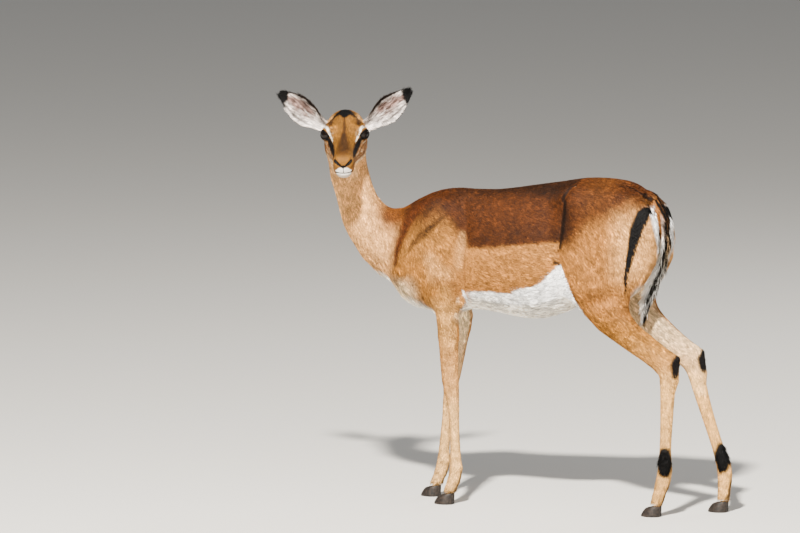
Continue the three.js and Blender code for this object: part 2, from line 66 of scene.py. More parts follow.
LEG_LINES = {
    "foreleg_left": [
        (262, 72, 560), (240, 70, 420), (235, 68, 312), (229, 67, 268), (225, 66, 190),
        (222, 65, 82), (240, 65, 30)
    ],
    "foreleg_right": [
        (270, -72, 560), (272, -70, 420), (290, -67, 312), (296, -66, 268), (304, -65, 190),
        (313, -64, 82), (333, -64, 30)
    ],
    "hindleg_left": [
        (-165, 80, 566), (-268, 76, 458), (-328, 74, 412), (-370, 73, 378), (-364, 73, 240),
        (-359, 74, 106), (-338, 75, 30)
    ],
    "hindleg_right": [
        (-185, -80, 566), (-284, -76, 460), (-340, -74, 414), (-384, -73, 378), (-423, -73, 238),
        (-467, -74, 106), (-463, -75, 30)
    ],
}
TAIL_LINE = [
    (-262, 0, 826), (-300, 0, 806), (-326, 0, 765), (-332, 0, 705), (-322, 0, 645), (-300, 0, 590),
    (-280, 0, 545), (-270, 0, 488)
]


def turn(axis, degrees):
    """A 4x4 rotation about x, y or z."""
    c, s = math.cos(math.radians(degrees)), math.sin(math.radians(degrees))
    i, j = {"x": (1, 2), "y": (2, 0), "z": (0, 1)}[axis]
    m = np.eye(4)
    m[i, i] = m[j, j] = c
    m[i, j], m[j, i] = -s, s
    return m


def shift(x, y, z):
    """A 4x4 move."""
    m = np.eye(4)
    m[:3, 3] = (x, y, z)
    return m


HEAD = shift(543, 36, 981) @ turn("z", 111.6) @ turn("y", 26) @ turn("x", 1.4)
EAR_ROOT = {side: HEAD @ shift(32, 42 * side, -5) @ turn("y", -26) for side in (1, -1)}
EARS = {
    side: root @ turn("z", 96 * side) @ turn("y", -36.5) @ turn("x", 98 * side)
    for side, root in EAR_ROOT.items()
}
EAR_LENGTH = 159.0
EAR_SIDES = ((1, "ear_left"), (-1, "ear_right"))


def placed(m, points):
    return np.asarray(points, float) @ m[:3, :3].T + m[:3, 3]


def local(m, points):
    return placed(np.linalg.inv(m), points)


def to_row(points):
    return (np.asarray(points) - CENTRE) * 0.001


def unit(v):
    return v / np.maximum(np.linalg.norm(v, axis=-1, keepdims=True), 1e-9)


def ramp(x, a, b):
    """0 at a, 1 at b, smooth between."""
    t = np.clip((x - a) / (b - a), 0, 1)
    return t * t * (3 - 2 * t)


def fall(x, a, b):
    """The other way: 1 up to the first value, and 0 from the second on."""
    return 1 - ramp(x, a, b)


def nearest_on_line(points, line):
    """Distance to a broken line, and how far along it the nearest place is, in corners."""
    line = np.asarray(line, float)
    best = np.full(len(points), 1e9)
    where = np.zeros(len(points))
    for i in range(len(line) - 1):
        a, d = line[i], line[i + 1] - line[i]
        t = np.clip((points - a) @ d / max(d @ d, 1e-9), 0, 1)
        off = np.linalg.norm(points - a - t[:, None] * d, axis=1)
        closer = off < best
        best[closer] = off[closer]
        where[closer] = i + t[closer]
    return best, where


def kinds(parts):
    """Masks of head, ears, tail, legs and body, from the numbers of flesh nodes and eyes."""
    head = (parts == IS["head"]) | (parts >= len(FLESH))
    ear = (parts == IS["ear_left"]) | (parts == IS["ear_right"])
    tail = parts == IS["tail"]
    leg = (parts > IS["tail"]) & (parts < len(FLESH))
    return head, ear, tail, leg, ~(head | ear | tail | leg)


def of_leg(parts, name):
    """A mask of one leg's pieces."""
    return np.isin(parts, [IS[flesh] for flesh in FLESH if flesh.startswith(name)])


def mirrored(line):
    return [(x, -y, z) for x, y, z in line]


def noise(points, size, seed):
    """Smooth value noise between -1 and 1 with features about `size` wide."""
    p = points / size + 100.0
    cell = np.floor(p).astype(np.int64)
    f = p - cell
    f = f * f * (3 - 2 * f)
    total = np.zeros(len(points))
    for corner in range(8):
        o = np.array([corner & 1, corner >> 1 & 1, corner >> 2])
        c = cell + o
        h = (
            c[:, 0] * 73856093 ^ c[:, 1] * 19349663 ^ c[:, 2] * 83492791 ^ seed * 2654435761
        ) & 0xFFFFFF
        h = (h * 1103515245 + 12345) & 0xFFFFFF
        weight = np.prod(np.where(o, f, 1 - f), axis=1)
        total += weight * (h / 0x7FFFFF - 1)
    return total


# ---- Skin ------------------------------------------------------------------------------------


def node_arrays(name):
    """Corners in the animal frame and triangles of a CAD node."""
    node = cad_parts[name]
    mesh = node.data
    mesh.calc_loop_triangles()
    points = np.empty(len(mesh.vertices) * 3)
    mesh.vertices.foreach_get("co", points)
    m = np.array(node.matrix_world)
    points = placed(m, points.reshape(-1, 3)) * 1000 + CENTRE
    tris = np.empty(len(mesh.loop_triangles) * 3, np.int64)
    mesh.loop_triangles.foreach_get("vertices", tris)
    # Corners that the file keeps apart for shading are joined.
    _, first, inverse = np.unique(
        np.round(points, 3), axis=0, return_index=True, return_inverse=True
    )
    return points[first], inverse.reshape(-1)[tris].reshape(-1, 3)


def normals_of(points, faces):
    """Smooth normals at the corners, from triangles or quads."""
    a, b, c = points[faces[:, 0]], points[faces[:, 1]], points[faces[:, 2]]
    n = np.cross(b - a, c - a) if faces.shape[1] == 3 else np.cross(c - a, points[faces[:, 3]] - b)
    out = np.zeros_like(points)
    for k in range(3):
        for corner in range(faces.shape[1]):
            out[:, k] += np.bincount(faces[:, corner], n[:, k], len(points))
    return unit(out)


def make_mesh(name, points, faces):
    """A mesh object from row-frame points and faces that all have the same number of corners."""
    mesh = bpy.data.meshes.new(name)
    corners = faces.shape[1]
    mesh.vertices.add(len(points))
    mesh.vertices.foreach_set("co", np.ascontiguousarray(points, np.float32).ravel())
    mesh.loops.add(faces.size)
    mesh.loops.foreach_set("vertex_index", faces.astype(np.int32).ravel())
    mesh.polygons.add(len(faces))
    mesh.polygons.foreach_set("loop_start", np.arange(0, faces.size, corners, dtype=np.int32))
    mesh.update(calc_edges=True)
    mesh.shade_smooth()
    made = bpy.data.objects.new(name, mesh)
    bpy.context.scene.collection.objects.link(made)
    return made


def read_mesh(mesh):
    """Points in the animal frame, and triangles."""
    mesh.calc_loop_triangles()
    points = np.empty(len(mesh.vertices) * 3)
    mesh.vertices.foreach_get("co", points)
    tris = np.empty(len(mesh.loop_triangles) * 3, np.int32)
    mesh.loop_triangles.foreach_get("vertices", tris)
    return points.reshape(-1, 3) * 1000 + CENTRE, tris.reshape(-1, 3)


def evaluated(obj):
    """The object's mesh with its modifiers applied, and the object removed."""
    graph = bpy.context.evaluated_depsgraph_get()
    mesh = bpy.data.meshes.new_from_object(obj.evaluated_get(graph))
    bpy.data.objects.remove(obj)
    return mesh


class Rings:
    """The neighbours of every corner, for smoothing."""

    def __init__(self, faces, count):
        pairs = np.vstack([faces[:, [k, (k + 1) % faces.shape[1]]] for k in range(faces.shape[1])])
        pairs = np.unique(np.sort(pairs, axis=1), axis=0)
        pairs = np.vstack([pairs, pairs[:, ::-1]])
        pairs = pairs[np.argsort(pairs[:, 0], kind="stable")]
        self.to = pairs[:, 1]
        self.number = np.bincount(pairs[:, 0], minlength=count)
        self.starts = np.minimum(np.concatenate([[0], np.cumsum(self.number)[:-1]]), len(pairs) - 1)

    def mean(self, values):
        total = np.add.reduceat(values[self.to], self.starts, axis=0)
        return total / np.maximum(self.number, 1).reshape((-1,) + (1,) * (values.ndim - 1))

    def smooth(self, values, strength, times):
        values = values.copy()
        strength = np.asarray(strength)
        if strength.ndim == 1 and values.ndim == 2:
            strength = strength[:, None]
        for _ in range(times):
            values += strength * (self.mean(values) - values)
        return values


INFLATE = 0.8  # grows the solids so that they meet across their cuts
EYE_INFLATE = 1.6  # and the eyeballs, so that the sockets close round them
VOXEL = 2.2
SMOOTH_PASSES = 90
SEAM_WIDTH = 40  # the skin is smoothed further this near the cuts between legs and body,
SEAM_PASSES = 600  # this many times,
SEAM_EDGE = 0.04  # as far out as the weight stays over this
FOOT_TOP = 60  # feet keep their shape and their fine mesh below this height
SKIN_TRIANGLES = 150000

flesh_points, flesh_tris, flesh_of = [], [], []
offset = 0
for number, name in enumerate(FLESH + ["eye_left", "eye_right"]):
    points, tris = node_arrays(name)
    grow = EYE_INFLATE if name.startswith("eye") else INFLATE
    flesh_points.append(points + normals_of(points, tris) * grow)
    flesh_tris.append(tris + offset)
    flesh_of.append(np.full(len(tris), number))
    offset += len(points)
flesh_points, flesh_tris = np.vstack(flesh_points), np.vstack(flesh_tris)
flesh_of = np.concatenate(flesh_of)
flesh_bvh = BVHTree.FromPolygons(flesh_points.tolist(), flesh_tris.tolist())


def part_at(points):
    """The number of the flesh node nearest to each point."""
    return np.array([flesh_of[flesh_bvh.find_nearest(p)[2]] for p in points.tolist()])


SNAP_STEPS = 6


def on_skin(line, place=None, surface=flesh_bvh):
    """A line with more corners, each moved to the nearest place on the animal's surface."""
    line = np.asarray(line, float)
    steps = np.arange(SNAP_STEPS * (len(line) - 1) + 1) / SNAP_STEPS
    dense = np.stack([np.interp(steps, np.arange(len(line)), line[:, k]) for k in range(3)], axis=1)
    world = dense if place is None else placed(place, dense)
    snapped = np.array([surface.find_nearest(corner)[0] for corner in world.tolist()])
    return snapped if place is None else local(place, snapped)


lump = make_mesh("lump", to_row(flesh_points), flesh_tris)
remesh = lump.modifiers.new("remesh", "REMESH")
remesh.mode = "VOXEL"
remesh.voxel_size = VOXEL * 0.001
raw = evaluated(lump)
raw_quads = np.empty(len(raw.polygons) * 4, np.int64)
raw_points = np.empty(len(raw.vertices) * 3)
raw.polygons.foreach_get("vertices", raw_quads)
raw.vertices.foreach_get("co", raw_points)
raw_quads = raw_quads.reshape(-1, 4)
P = raw_points.reshape(-1, 3) * 1000 + CENTRE
rings = Rings(raw_quads, len(P))
part = part_at(P)
is_head, is_ear, is_tail, is_leg, is_body = kinds(part)

# The solids' facets are smoothed away: widely on the body, barely on ears and face.
strength = np.where(is_head, 0.06, np.where(is_ear, 0.012, np.where(is_tail, 0.25, 0.5)))
strength = np.where(is_leg, 0.05 + 0.45 * ramp(P[:, 2], 400, 500), strength)
strength = np.where(is_leg & (P[:, 2] < FOOT_TOP), 0.03, strength)
# The forelegs are cut off level at 489, the hind legs at a slope.
off_cut = np.where(P[:, 0] > 120, P[:, 2] - 489, (P[:, 2] - 496 + 0.38 * (P[:, 0] + 90)) / 1.07)
by_cut = (is_leg | is_body) * ((P[:, 0] > 150) | (P[:, 0] < -70)) * (P[:, 2] < 660)
seam = np.exp(-((off_cut / SEAM_WIDTH) ** 2)) * by_cut
strength = np.maximum(strength, 0.5 * seam)
strength = rings.smooth(strength, 0.5, 12)
even = rings.smooth(P, strength, SMOOTH_PASSES)
P = even + rings.smooth(P - even, strength, SMOOTH_PASSES)
joined = np.any(seam[raw_quads] > SEAM_EDGE, axis=1)
about, local_quads = np.unique(raw_quads[joined], return_inverse=True)
joint = Rings(local_quads.reshape(-1, 4), len(about))
give = 0.5 * ramp(seam[about], SEAM_EDGE, 0.7)
even = joint.smooth(P[about], give, SEAM_PASSES)
P[about] = even + joint.smooth(P[about] - even, give, SEAM_PASSES)

# The skin lies below the tips of the coat.
depth = np.where(is_head, 1.0, np.where(is_ear, 0.7, np.where(is_tail, 5.0, 2.6)))
depth = np.where(is_leg, 1.3 + 1.3 * ramp(P[:, 2], 380, 520), depth)
depth = rings.smooth(depth, 0.5, 12)
N = normals_of(P, raw_quads)
P = P - N * (depth + INFLATE)[:, None]
P = rings.smooth(P, np.where(is_ear, 0.3, np.where(is_tail, 0.4, 0.0)), 5)
N = normals_of(P, raw_quads)

# Folds and hollows on her left, mirrored to her right: line, width, and height (below 0 sinks).
BODY_FOLDS = [
    ([(333, 72, 745), (358, 64, 707), (378, 56, 668), (384, 50, 623), (372, 50, 590)], 12, -4.5),
    ([(300, 74, 716), (318, 74, 694), (338, 72, 670)], 5.0, -1.6),
    ([(262, 62, 812), (296, 72, 730)], 9, -1.6),
    (
        [
            (211, 70, 808), (197, 92, 754), (189, 96, 690), (186, 97, 633), (192, 96, 573),
            (197, 90, 534)
        ],
        13, -4.5
    ),
    (
        [
            (-110, 60, 850), (-92, 80, 828), (-80, 90, 800), (-77, 96, 760), (-76, 100, 712),
            (-75, 102, 668)
        ],
        6, -5.0
    ),
    (
        [
            (-75, 102, 668), (-84, 104, 630), (-94, 104, 600), (-104, 102, 575), (-118, 98, 548),
            (-134, 92, 524)
        ],
        6, -5.0
    ),
    ([(-40, 88, 780), (-42, 100, 730), (-48, 104, 690)], 30, -6.0),
    ([(-112, 88, 790), (-118, 100, 720), (-122, 106, 640)], 24, 3.5),
    ([(-238, 84, 800), (-232, 98, 740), (-236, 100, 680), (-246, 98, 620)], 16, -2.6),
    ([(-180, 104, 640), (-214, 100, 570), (-252, 92, 520)], 15, -2.4),
    ([(232, 92, 530), (236, 92, 520)], 16, 3.5),
    ([(262, 94, 600), (296, 92, 560), (300, 88, 530)], 14, -2.2),
    ([(330, 78, 650), (300, 92, 620)], 20, 2.2),
    ([(520, 58, 850), (492, 52, 770), (452, 58, 700), (420, 58, 640)], 11, -2.4),
    ([(168, 100, 720), (150, 106, 660), (140, 106, 590)], 7, -0.9),
    ([(128, 100, 730), (108, 110, 660), (98, 108, 590)], 7, -0.9),
    ([(84, 100, 735), (62, 112, 660), (54, 110, 590)], 7, -0.9),
    ([(40, 102, 740), (18, 112, 665), (10, 110, 600)], 7, -0.9),
]
HEAD_FOLDS = [
    ([(58, 47, 24), (66, 50, 12)], 9, -1.8),
    ([(116, 41, -4), (128, 37, -10), (150, 31, -14)], 5, 1.6),
    ([(112, 41, -16), (130, 36, -22), (152, 30, -26)], 6, -1.4),
    ([(72, 52, -18), (84, 48, -36), (94, 40, -50)], 7, -1.5),
    ([(112, 30, 22), (140, 24, 18), (176, 20, 15)], 6, -1.2),
    ([(68, 42, 36), (86, 44, 38), (100, 36, 34)], 6, 1.8),
    ([(114, 38, 12), (126, 35, 10), (138, 34, 9)], 5, -1.8),
    ([(204, 22, 11), (211, 19, 8), (217, 13, 3), (222, 7, -3)], 2.6, -4.5),
    ([(204, 24, 3), (212, 22, 0), (218, 16, -5)], 3.2, 1.2),
    ([(222, 0, -3), (224, 0, -10), (223, 0, -20)], 1.6, -1.6),
    ([(222, 0, -23), (217, 9, -23), (203, 18, -23), (184, 25, -24), (166, 28, -22)], 2.0, -3.2),
    ([(221, 4, -32), (214, 14, -34), (200, 21, -36)], 5, 1.0),
]


def sunk(points, normals, folds, mask, place=None):
    """Points moved along their normals by the folds on both sides."""
    at = np.flatnonzero(mask)
    for line, width, height in folds:
        for side in (line, mirrored(line)):
            corners = on_skin(side, place)
            near = np.all(
                (points[at] > corners.min(0) - 3 * width)
                & (points[at] < corners.max(0) + 3 * width), axis=1
            )
            hit = at[near]
            if len(hit) == 0:
                continue
            off, _ = nearest_on_line(points[hit], corners)
            points[hit] += normals[hit] * (height * np.exp(-((off / width) ** 2)))[:, None]
    return points


P = sunk(P, N, BODY_FOLDS, is_body | (is_leg & (P[:, 2] > 420)))

# Legs: a hollow between bone and tendon down each cannon, and one ahead of each hock's tendon.
GROOVE = (4.0, -1.5)  # width and height, as in the folds
HOLLOW = (9.0, -4.0)


def press(ours, line, shape):
    """Sinks part of the skin along a line."""
    width, height = shape
    off, _ = nearest_on_line(P[ours], line)
    P[ours] += N[ours] * (height * np.exp(-((off / width) ** 2)))[:, None]


for name, line in LEG_LINES.items():
    fore = name.startswith("fore")
    ours = of_leg(part, name)
    below, fetlock = np.array(line[4]), np.array(line[5])
    back = -5.0 if fore else -4.0
    for side in (1, -1):
        groove = [
            below + (back, side * 14, 50), below + (back, side * 13, 0),
            fetlock + (back - 2, side * 15, 24)
        ]
        press(ours, groove, GROOVE)
        if not fore:
            shank, hock = np.array(line[1]), np.array(line[3])
            hollow = [
                shank + (-10, side * 26, 8), (shank + hock) / 2 + (-12, side * 17, 16),
                hock + (-4, side * 18, 26)
            ]
            press(ours, hollow, HOLLOW)

skin = make_mesh("skin", to_row(P), raw_quads)
thinned = skin.vertex_groups.new(name="thin")
coarse = np.flatnonzero(~(is_head | is_ear | (is_leg & (P[:, 2] < FOOT_TOP))))
thinned.add(coarse.tolist(), 1.0, "REPLACE")
thin = skin.modifiers.new("thin", "DECIMATE")
thin.vertex_group = "thin"
thin.ratio = SKIN_TRIANGLES / (2 * len(raw_quads))
skin_mesh = evaluated(skin)

LID_OUT = 1.5  # the skin's lids stand this far off the eyeball
SOCKET = 27  # the lids reach this far from the eye's centre
EYE_AXIS = unit(np.array([0.60, 0.76, 0.24]))
LID_SLANT = -17  # how far the inner corner of the eye lies below the outer, past level
OPENING = (53, 28, 24)  # half-length, and height above and below, in degrees


def eye_frame(side):
    """The eye's axis, and the directions along and up its opening, in the head's frame."""
    axis = EYE_AXIS * (1, side, 1)
    forward = unit(np.array([1.0, 0, 0]) - axis * axis[0])
    up = unit(np.cross(axis, forward)) * side
    up = up * np.sign(up[2])
    c, s = math.cos(math.radians(LID_SLANT)), math.sin(math.radians(LID_SLANT))
    return axis, forward * c - up * s, forward * s + up * c


def eye_edge(turned):
    """How far the edge of the opening is from the eye's axis, in degrees, at an angle round it."""
    long, above, below = OPENING
    tall = np.where(np.sin(turned) > 0, above, below)
    return (
        (np.abs(np.cos(turned)) / long) ** 1.7 + (np.abs(np.sin(turned)) / tall) ** 1.7
    ) ** (-1 / 1.7)


def round_eye(points, side):
    """Distance from an eye's centre, angle round its axis, and degrees outside its opening."""
    axis, across, tall = eye_frame(side)
    v = points - EYE_AT * (1, side, 1)
    distance = np.linalg.norm(v, axis=1)
    d = v / np.maximum(distance, 1e-6)[:, None]
    angle = np.degrees(np.arccos(np.clip(d @ axis, -1, 1)))
    turned = np.arctan2(d @ tall, d @ across)
    return distance, turned, angle - eye_edge(turned)


# The muzzle and the skin round the eyes get a finer mesh, for nostrils, lips and lids.
fine = bmesh.new()
fine.from_mesh(skin_mesh)
fine.faces.ensure_lookup_table()
face_at = np.array([f.calc_center_median()[:] for f in fine.faces]) * 1000 + CENTRE
face_h = local(HEAD, face_at)
muzzle = np.all((face_h > (192, -45, -60)) & (face_h < (240, 45, 60)), axis=1)
eyes = np.zeros(len(face_h), bool)
for side in (1, -1):
    eyes |= np.linalg.norm(face_h - EYE_AT * (1, side, 1), axis=1) < 29
edges = {e for i in np.flatnonzero(muzzle | eyes) for e in fine.faces[i].edges}
bmesh.ops.subdivide_edges(fine, edges=list(edges), cuts=1, use_grid_fill=True)
bmesh.ops.triangulate(fine, faces=fine.faces)
fine.to_mesh(skin_mesh)
fine.free()
skin_points, skin_tris = read_mesh(skin_mesh)
skin_parts = part_at(skin_points)
skin_flat = skin_points.copy()  # where markings are looked up: the head before its folds and lids
H = local(HEAD, skin_points)
near_head = kinds(skin_parts)[0] | ((skin_parts == IS["neck"]) & (skin_points[:, 2] > 880))
H = sunk(H, normals_of(skin_points, skin_tris) @ HEAD[:3, :3], HEAD_FOLDS, near_head, HEAD)
chin = near_head * ramp(-H[:, 2], 20, 44) * ramp(H[:, 0], 178, 208)
H[:, 1] *= 1 - 0.34 * chin
for side in (1, -1):
    distance, turned, outside = round_eye(H, side)
    near = near_head & (distance < SOCKET) & (outside < 46)
    d = (H - EYE_AT * (1, side, 1)) / np.maximum(distance, 1e-6)[:, None]
    crease = 1.1 * np.exp(-(((outside - 21) / 5) ** 2)) * (0.4 + 0.6 * (np.sin(turned) > 0))
    target = np.where(outside > 5, EYE_RADIUS + LID_OUT - crease, EYE_RADIUS - 3.5)
    weight = np.where(near, fall(outside, 20, 44), 0)[:, None]
    H = H * (1 - weight) + (EYE_AT * (1, side, 1) + d * target[:, None]) * weight
skin_points = np.where(near_head[:, None], placed(HEAD, H), skin_points)
skin_mesh.vertices.foreach_set("co", to_row(skin_points).astype(np.float32).ravel())
skin_mesh.update()

skin = bpy.data.objects.new("skin", skin_mesh)
bpy.context.scene.collection.objects.link(skin)
skin_mesh.shade_smooth()
bpy.context.view_layer.objects.active = skin
skin.select_set(True)
bpy.ops.object.mode_set(mode="EDIT")
bpy.ops.mesh.select_all(action="SELECT")
bpy.ops.uv.smart_project(angle_limit=1.15, island_margin=0.004, scale_to_bounds=True)
bpy.ops.object.mode_set(mode="OBJECT")
skin_mesh.uv_layers.active.name = "OFBake"
skin_uv = np.empty(len(skin_mesh.loops) * 2)
skin_mesh.uv_layers["OFBake"].data.foreach_get("uv", skin_uv)
skin_uv = skin_uv.reshape(-1, 3, 2)
skin_tris = np.empty(len(skin_mesh.polygons) * 3, np.int64)
skin_mesh.polygons.foreach_get("vertices", skin_tris)
skin_tris = skin_tris.reshape(-1, 3)
skin_normals = normals_of(skin_points, skin_tris)

# ---- Markings and painted shade --------------------------------------------------------------


def rgb(r, g, b):
    """Linear colour from 0 to 255 screen values."""
    c = np.array([r, g, b]) / 255
    return np.where(c < 0.04045, c / 12.92, ((c + 0.055) / 1.055) ** 2.4)


# Painted darker than they look, because the view transform lightens them.
SADDLE = rgb(67, 33, 8)
SADDLE_DARK = rgb(30, 14, 4)
TAN = rgb(128, 78, 28)
RED_TAN = rgb(58, 27, 5)
FAWN = rgb(156, 103, 47)
PALE = rgb(206, 152, 90)
CREAM = rgb(238, 212, 170)
WHITE = rgb(252, 250, 248)
BLACK = rgb(3, 2, 2)
DARK = rgb(20, 10, 5)
NAPE = rgb(92, 50, 13)
FACE = rgb(108, 70, 22)
CHEEK = rgb(156, 106, 60)
BRIDGE = rgb(36, 16, 4)
PINK = rgb(96, 58, 46)
NECK = rgb(212, 156, 96)
OCHRE = rgb(132, 88, 26)
GOLD = rgb(156, 106, 34)
STRAW = rgb(176, 124, 58)
FOREARM = rgb(196, 146, 82)
# Dark red-brown for the painted shade in the hollows before the shoulder.
HOLLOW_SHADE_RED = rgb(66, 31, 8)
UNDERSIDE = rgb(244, 236, 222)
INNER_LEG = rgb(190, 158, 118)
HIND_CREAM = rgb(226, 176, 104)
FORE_CREAM = rgb(228, 184, 118)
HOCK = rgb(8, 4, 3)
CORONET = rgb(92, 64, 46)
TAIL = rgb(150, 96, 46)
TAIL_BLACK = rgb(9, 5, 3)
CROWN = rgb(188, 132, 76)
BROW = rgb(232, 222, 206)
LIP = rgb(228, 222, 214)
JAW = rgb(216, 204, 188)
CHIN_GREY_AND_SHADE = rgb(172, 156, 140)
EAR_BACK = rgb(176, 118, 64)
EAR_HAIR = rgb(222, 210, 202)
EAR_STREAK = rgb(48, 30, 24)
EAR_LINE = rgb(30, 20, 16)
EAR_ROOT_HAIR = rgb(70, 46, 34)
HAUNCH_FOLD = [
    (528, -131), (553, -114), (578, -102), (604, -91), (645, -80), (670, -74), (727, -77),
    (766, -77), (805, -80), (832, -91), (858, -108)
]


# How far outward the dark patches of each hind leg lie, at the hock and at the gland above
# the hoof, and how far ahead of the leg's line the gland lies.
HIND_PATCHES = {"hindleg_left": (9, 10, -2), "hindleg_right": (4, 7, 8)}
flat_bvh = BVHTree.FromPolygons(skin_flat.tolist(), skin_tris.tolist())


def paint(points, normals, parts):
    """Coat colour and painted shade at points on the skin, from landmarks on the body."""
    x, y, z = points.T
    a = np.abs(y)
    out_y = normals[:, 1] * np.sign(y)
    wobble = noise(points, 16, 1) * 0.6 + noise(points, 5, 2) * 0.4
    colour = np.tile(FAWN, (len(points), 1))

    def layer(mask, new):
        nonlocal colour
        mask = np.clip(mask * area, 0, 1)[:, None]
        colour = colour * (1 - mask) + np.asarray(new) * mask

    def stroke(line, width, new, soft=0.35, sides=True, where=None, amount=1.0):
        """A painted line; width may be a list with one value per corner."""
        for ours in ([line, mirrored(line)] if sides else [line]):
            corners = on_skin(ours, place, flat_bvh)
            reach = np.max(width)
            near = np.all((here > corners.min(0) - reach) & (here < corners.max(0) + reach), axis=1)
            near &= area
            if where is not None:
                near &= where
            if not near.any():
                continue
            off, t = nearest_on_line(here[near], corners)
            half = np.interp(
                t / SNAP_STEPS, np.arange(len(line)), np.broadcast_to(width, len(line))
            ) / 2
            mask = np.zeros(len(here))
            ragged = wobble[near] * np.minimum(half * 0.4, 1.6)
            mask[near] = fall(off + ragged, half * (1 - soft), half * (1 + soft))
            layer(mask * amount, new)

    place, here = None, points  # the frame that strokes are given in, and the points in it
    area = np.ones(len(points), bool)  # what the section paints
    head, ear, tail, leg, _ = kinds(parts)

    def line_at(t, table):
        """Interpolated from pairs."""
        return np.interp(t, [pair[0] for pair in table], [pair[1] for pair in table])

    # Haunch, back and shoulder: redder above, with the dark saddle's sharp lower edge.
    fold = line_at(z, HAUNCH_FOLD)
    rear = (x < fold).astype(float)
    front = ramp(x + wobble * 12 - 0.36 * (z - 674), 168, 226)
    red_from = line_at(
        x,
        [
            (-250, 770), (-190, 730), (-120, 700), (-80, 690), (190, 676), (240, 684), (330, 650),
            (390, 640)
        ]
    )
    red_to = line_at(
        x,
        [
            (-250, 826), (-190, 790), (-120, 752), (-80, 716), (160, 690), (200, 720), (262, 792),
            (330, 776), (390, 740)
        ]
    )
    layer(ramp(z + wobble * 12, red_from, red_to) * fall(x + wobble * 12, 385, 440), RED_TAN)
    edge = line_at(x, [(-110, 698), (-60, 693), (40, 684), (142, 671), (200, 668), (300, 700)])
    span = (1 - rear) * (1 - front)
    layer(ramp(z + wobble * 5, edge - 5, edge + 7) * span, SADDLE)
    layer(
        span * ramp(z + wobble * 10, edge + 2, edge + 14) * fall(z, edge + 20, edge + 60) * 0.35,
        SADDLE_DARK
    )
    layer(span * ramp(noise(points, 50, 3), -0.1, 0.7) * (z > edge) * 0.3, SADDLE_DARK)
    layer(
        ramp(z + wobble * 9, 786, 822) * ramp(x, -260, -60) * fall(x, 190, 300) * fall(a, 50, 85)
        * 0.9, SADDLE_DARK
    )
    # Haunch: painted shade just behind the fold of the flank, red-brown on top, pale towards the
    # stripe.
    layer(rear * fall(-x, 180, 262) * 0.25, TAN)
    layer(rear * ramp(z + wobble * 12, 735, 800) * 0.4, SADDLE)
    layer(rear * ramp(z + wobble * 10, 660, 725) * fall(-x + wobble * 12, 86, 175), SADDLE)
    # Painted shade behind the fold, where the thigh stands out from the flank.
    layer(
        rear * ramp(z, 670, 710) * fall(z, 770, 815) * fall(-x + wobble * 6, 84, 128) * 0.8,
        SADDLE_DARK
    )
    layer(
        rear * ramp(-x, 195, 262) * fall(z + wobble * 10, 740, 800) * ramp(z, 560, 640) * 0.75, PALE
    )
    layer(rear * fall(z + wobble * 14, 520, 640) * ramp(-x, 100, 170) * 0.4, TAN)
    layer(rear * fall(z + wobble * 12, 420, 560) * 0.55, GOLD)
    # Painted shade along the fold of the flank: dark above, fainter below.
    stroke(
        [
            (-106, 60, 852), (-91, 78, 832), (-80, 90, 805), (-77, 96, 766), (-77, 100, 727),
            (-74, 102, 672)
        ],
        [5, 8, 10, 11, 12, 7], DARK, soft=0.6, amount=0.95
    )
    stroke(
        [
            (-74, 102, 672), (-80, 103, 645), (-91, 104, 604), (-102, 102, 578), (-114, 98, 553),
            (-131, 92, 528)
        ],
        [5, 5, 5, 5, 6, 6], SADDLE, soft=0.9, amount=0.5
    )
    # Shoulder: red-brown above and before the blade, pale over its lower half, with painted shade
    # along its creases.
    before = ramp(x, 210, 240) * (x < 420)
    layer(before * fall(z + wobble * 20, 610, 690) * 0.5, TAN)
    layer(before * fall(z + wobble * 12, 690, 760) * 0.3, OCHRE)
    stroke(
        [(286, 92, 640), (262, 96, 606), (240, 96, 600)], [30, 50, 36], PALE, soft=0.95, amount=0.4
    )
    stroke(
        [(200, 98, 710), (200, 98, 674), (206, 97, 626)], [16, 30, 24], PALE, soft=0.95, amount=0.35
    )
    # Painted shade along the crease behind the shoulder.
    stroke(
        [(188, 98, 672), (189, 97, 620), (190, 95, 566)], [5, 7, 6], SADDLE, soft=0.9, amount=0.5
    )
    # Painted shade in the hollow down the front of the shoulder blade, along its fold.
    stroke(
        [
            (317, 62, 792), (350, 66, 759), (368, 66, 729), (380, 62, 690), (384, 58, 655),
            (380, 52, 622)
        ],
        [22, 38, 44, 40, 32, 18], HOLLOW_SHADE_RED, soft=0.8, amount=0.9
    )
    # Painted shade along the creases over the shoulder blade.
    stroke(
        [(262, 84, 744), (290, 84, 720), (315, 80, 697), (331, 78, 676), (344, 74, 654)],
        [10, 16, 18, 16, 8], SADDLE_DARK, soft=0.85, amount=0.8
    )
    stroke(
        [(268, 72, 806), (296, 76, 766), (330, 74, 730)], [10, 16, 10], SADDLE_DARK, soft=0.9,
        amount=0.4
    )
    stroke(
        [(262, 92, 586), (238, 95, 574), (224, 96, 566), (232, 94, 545)], [14, 30, 30, 16], RED_TAN,
        soft=0.9, amount=0.55
    )
    stroke(
        [(240, 92, 560), (236, 90, 500), (240, 86, 440)], [30, 40, 30], STRAW, soft=0.9, amount=0.5
    )
    layer(
        (x > 180) * (x < 300) * ramp(out_y, 0.2, 0.6) * fall(z + wobble * 14, 500, 556)
        * ramp(z, 380, 430) * 0.6, FOREARM
    )
    stroke([(196, 88, 556), (188, 80, 523), (190, 76, 490)], [6, 6, 3], WHITE, soft=0.5, amount=0.9)
    layer(ramp(x, 300, 380) * fall(z + wobble * 10, 540, 600) * 0.8, CREAM)

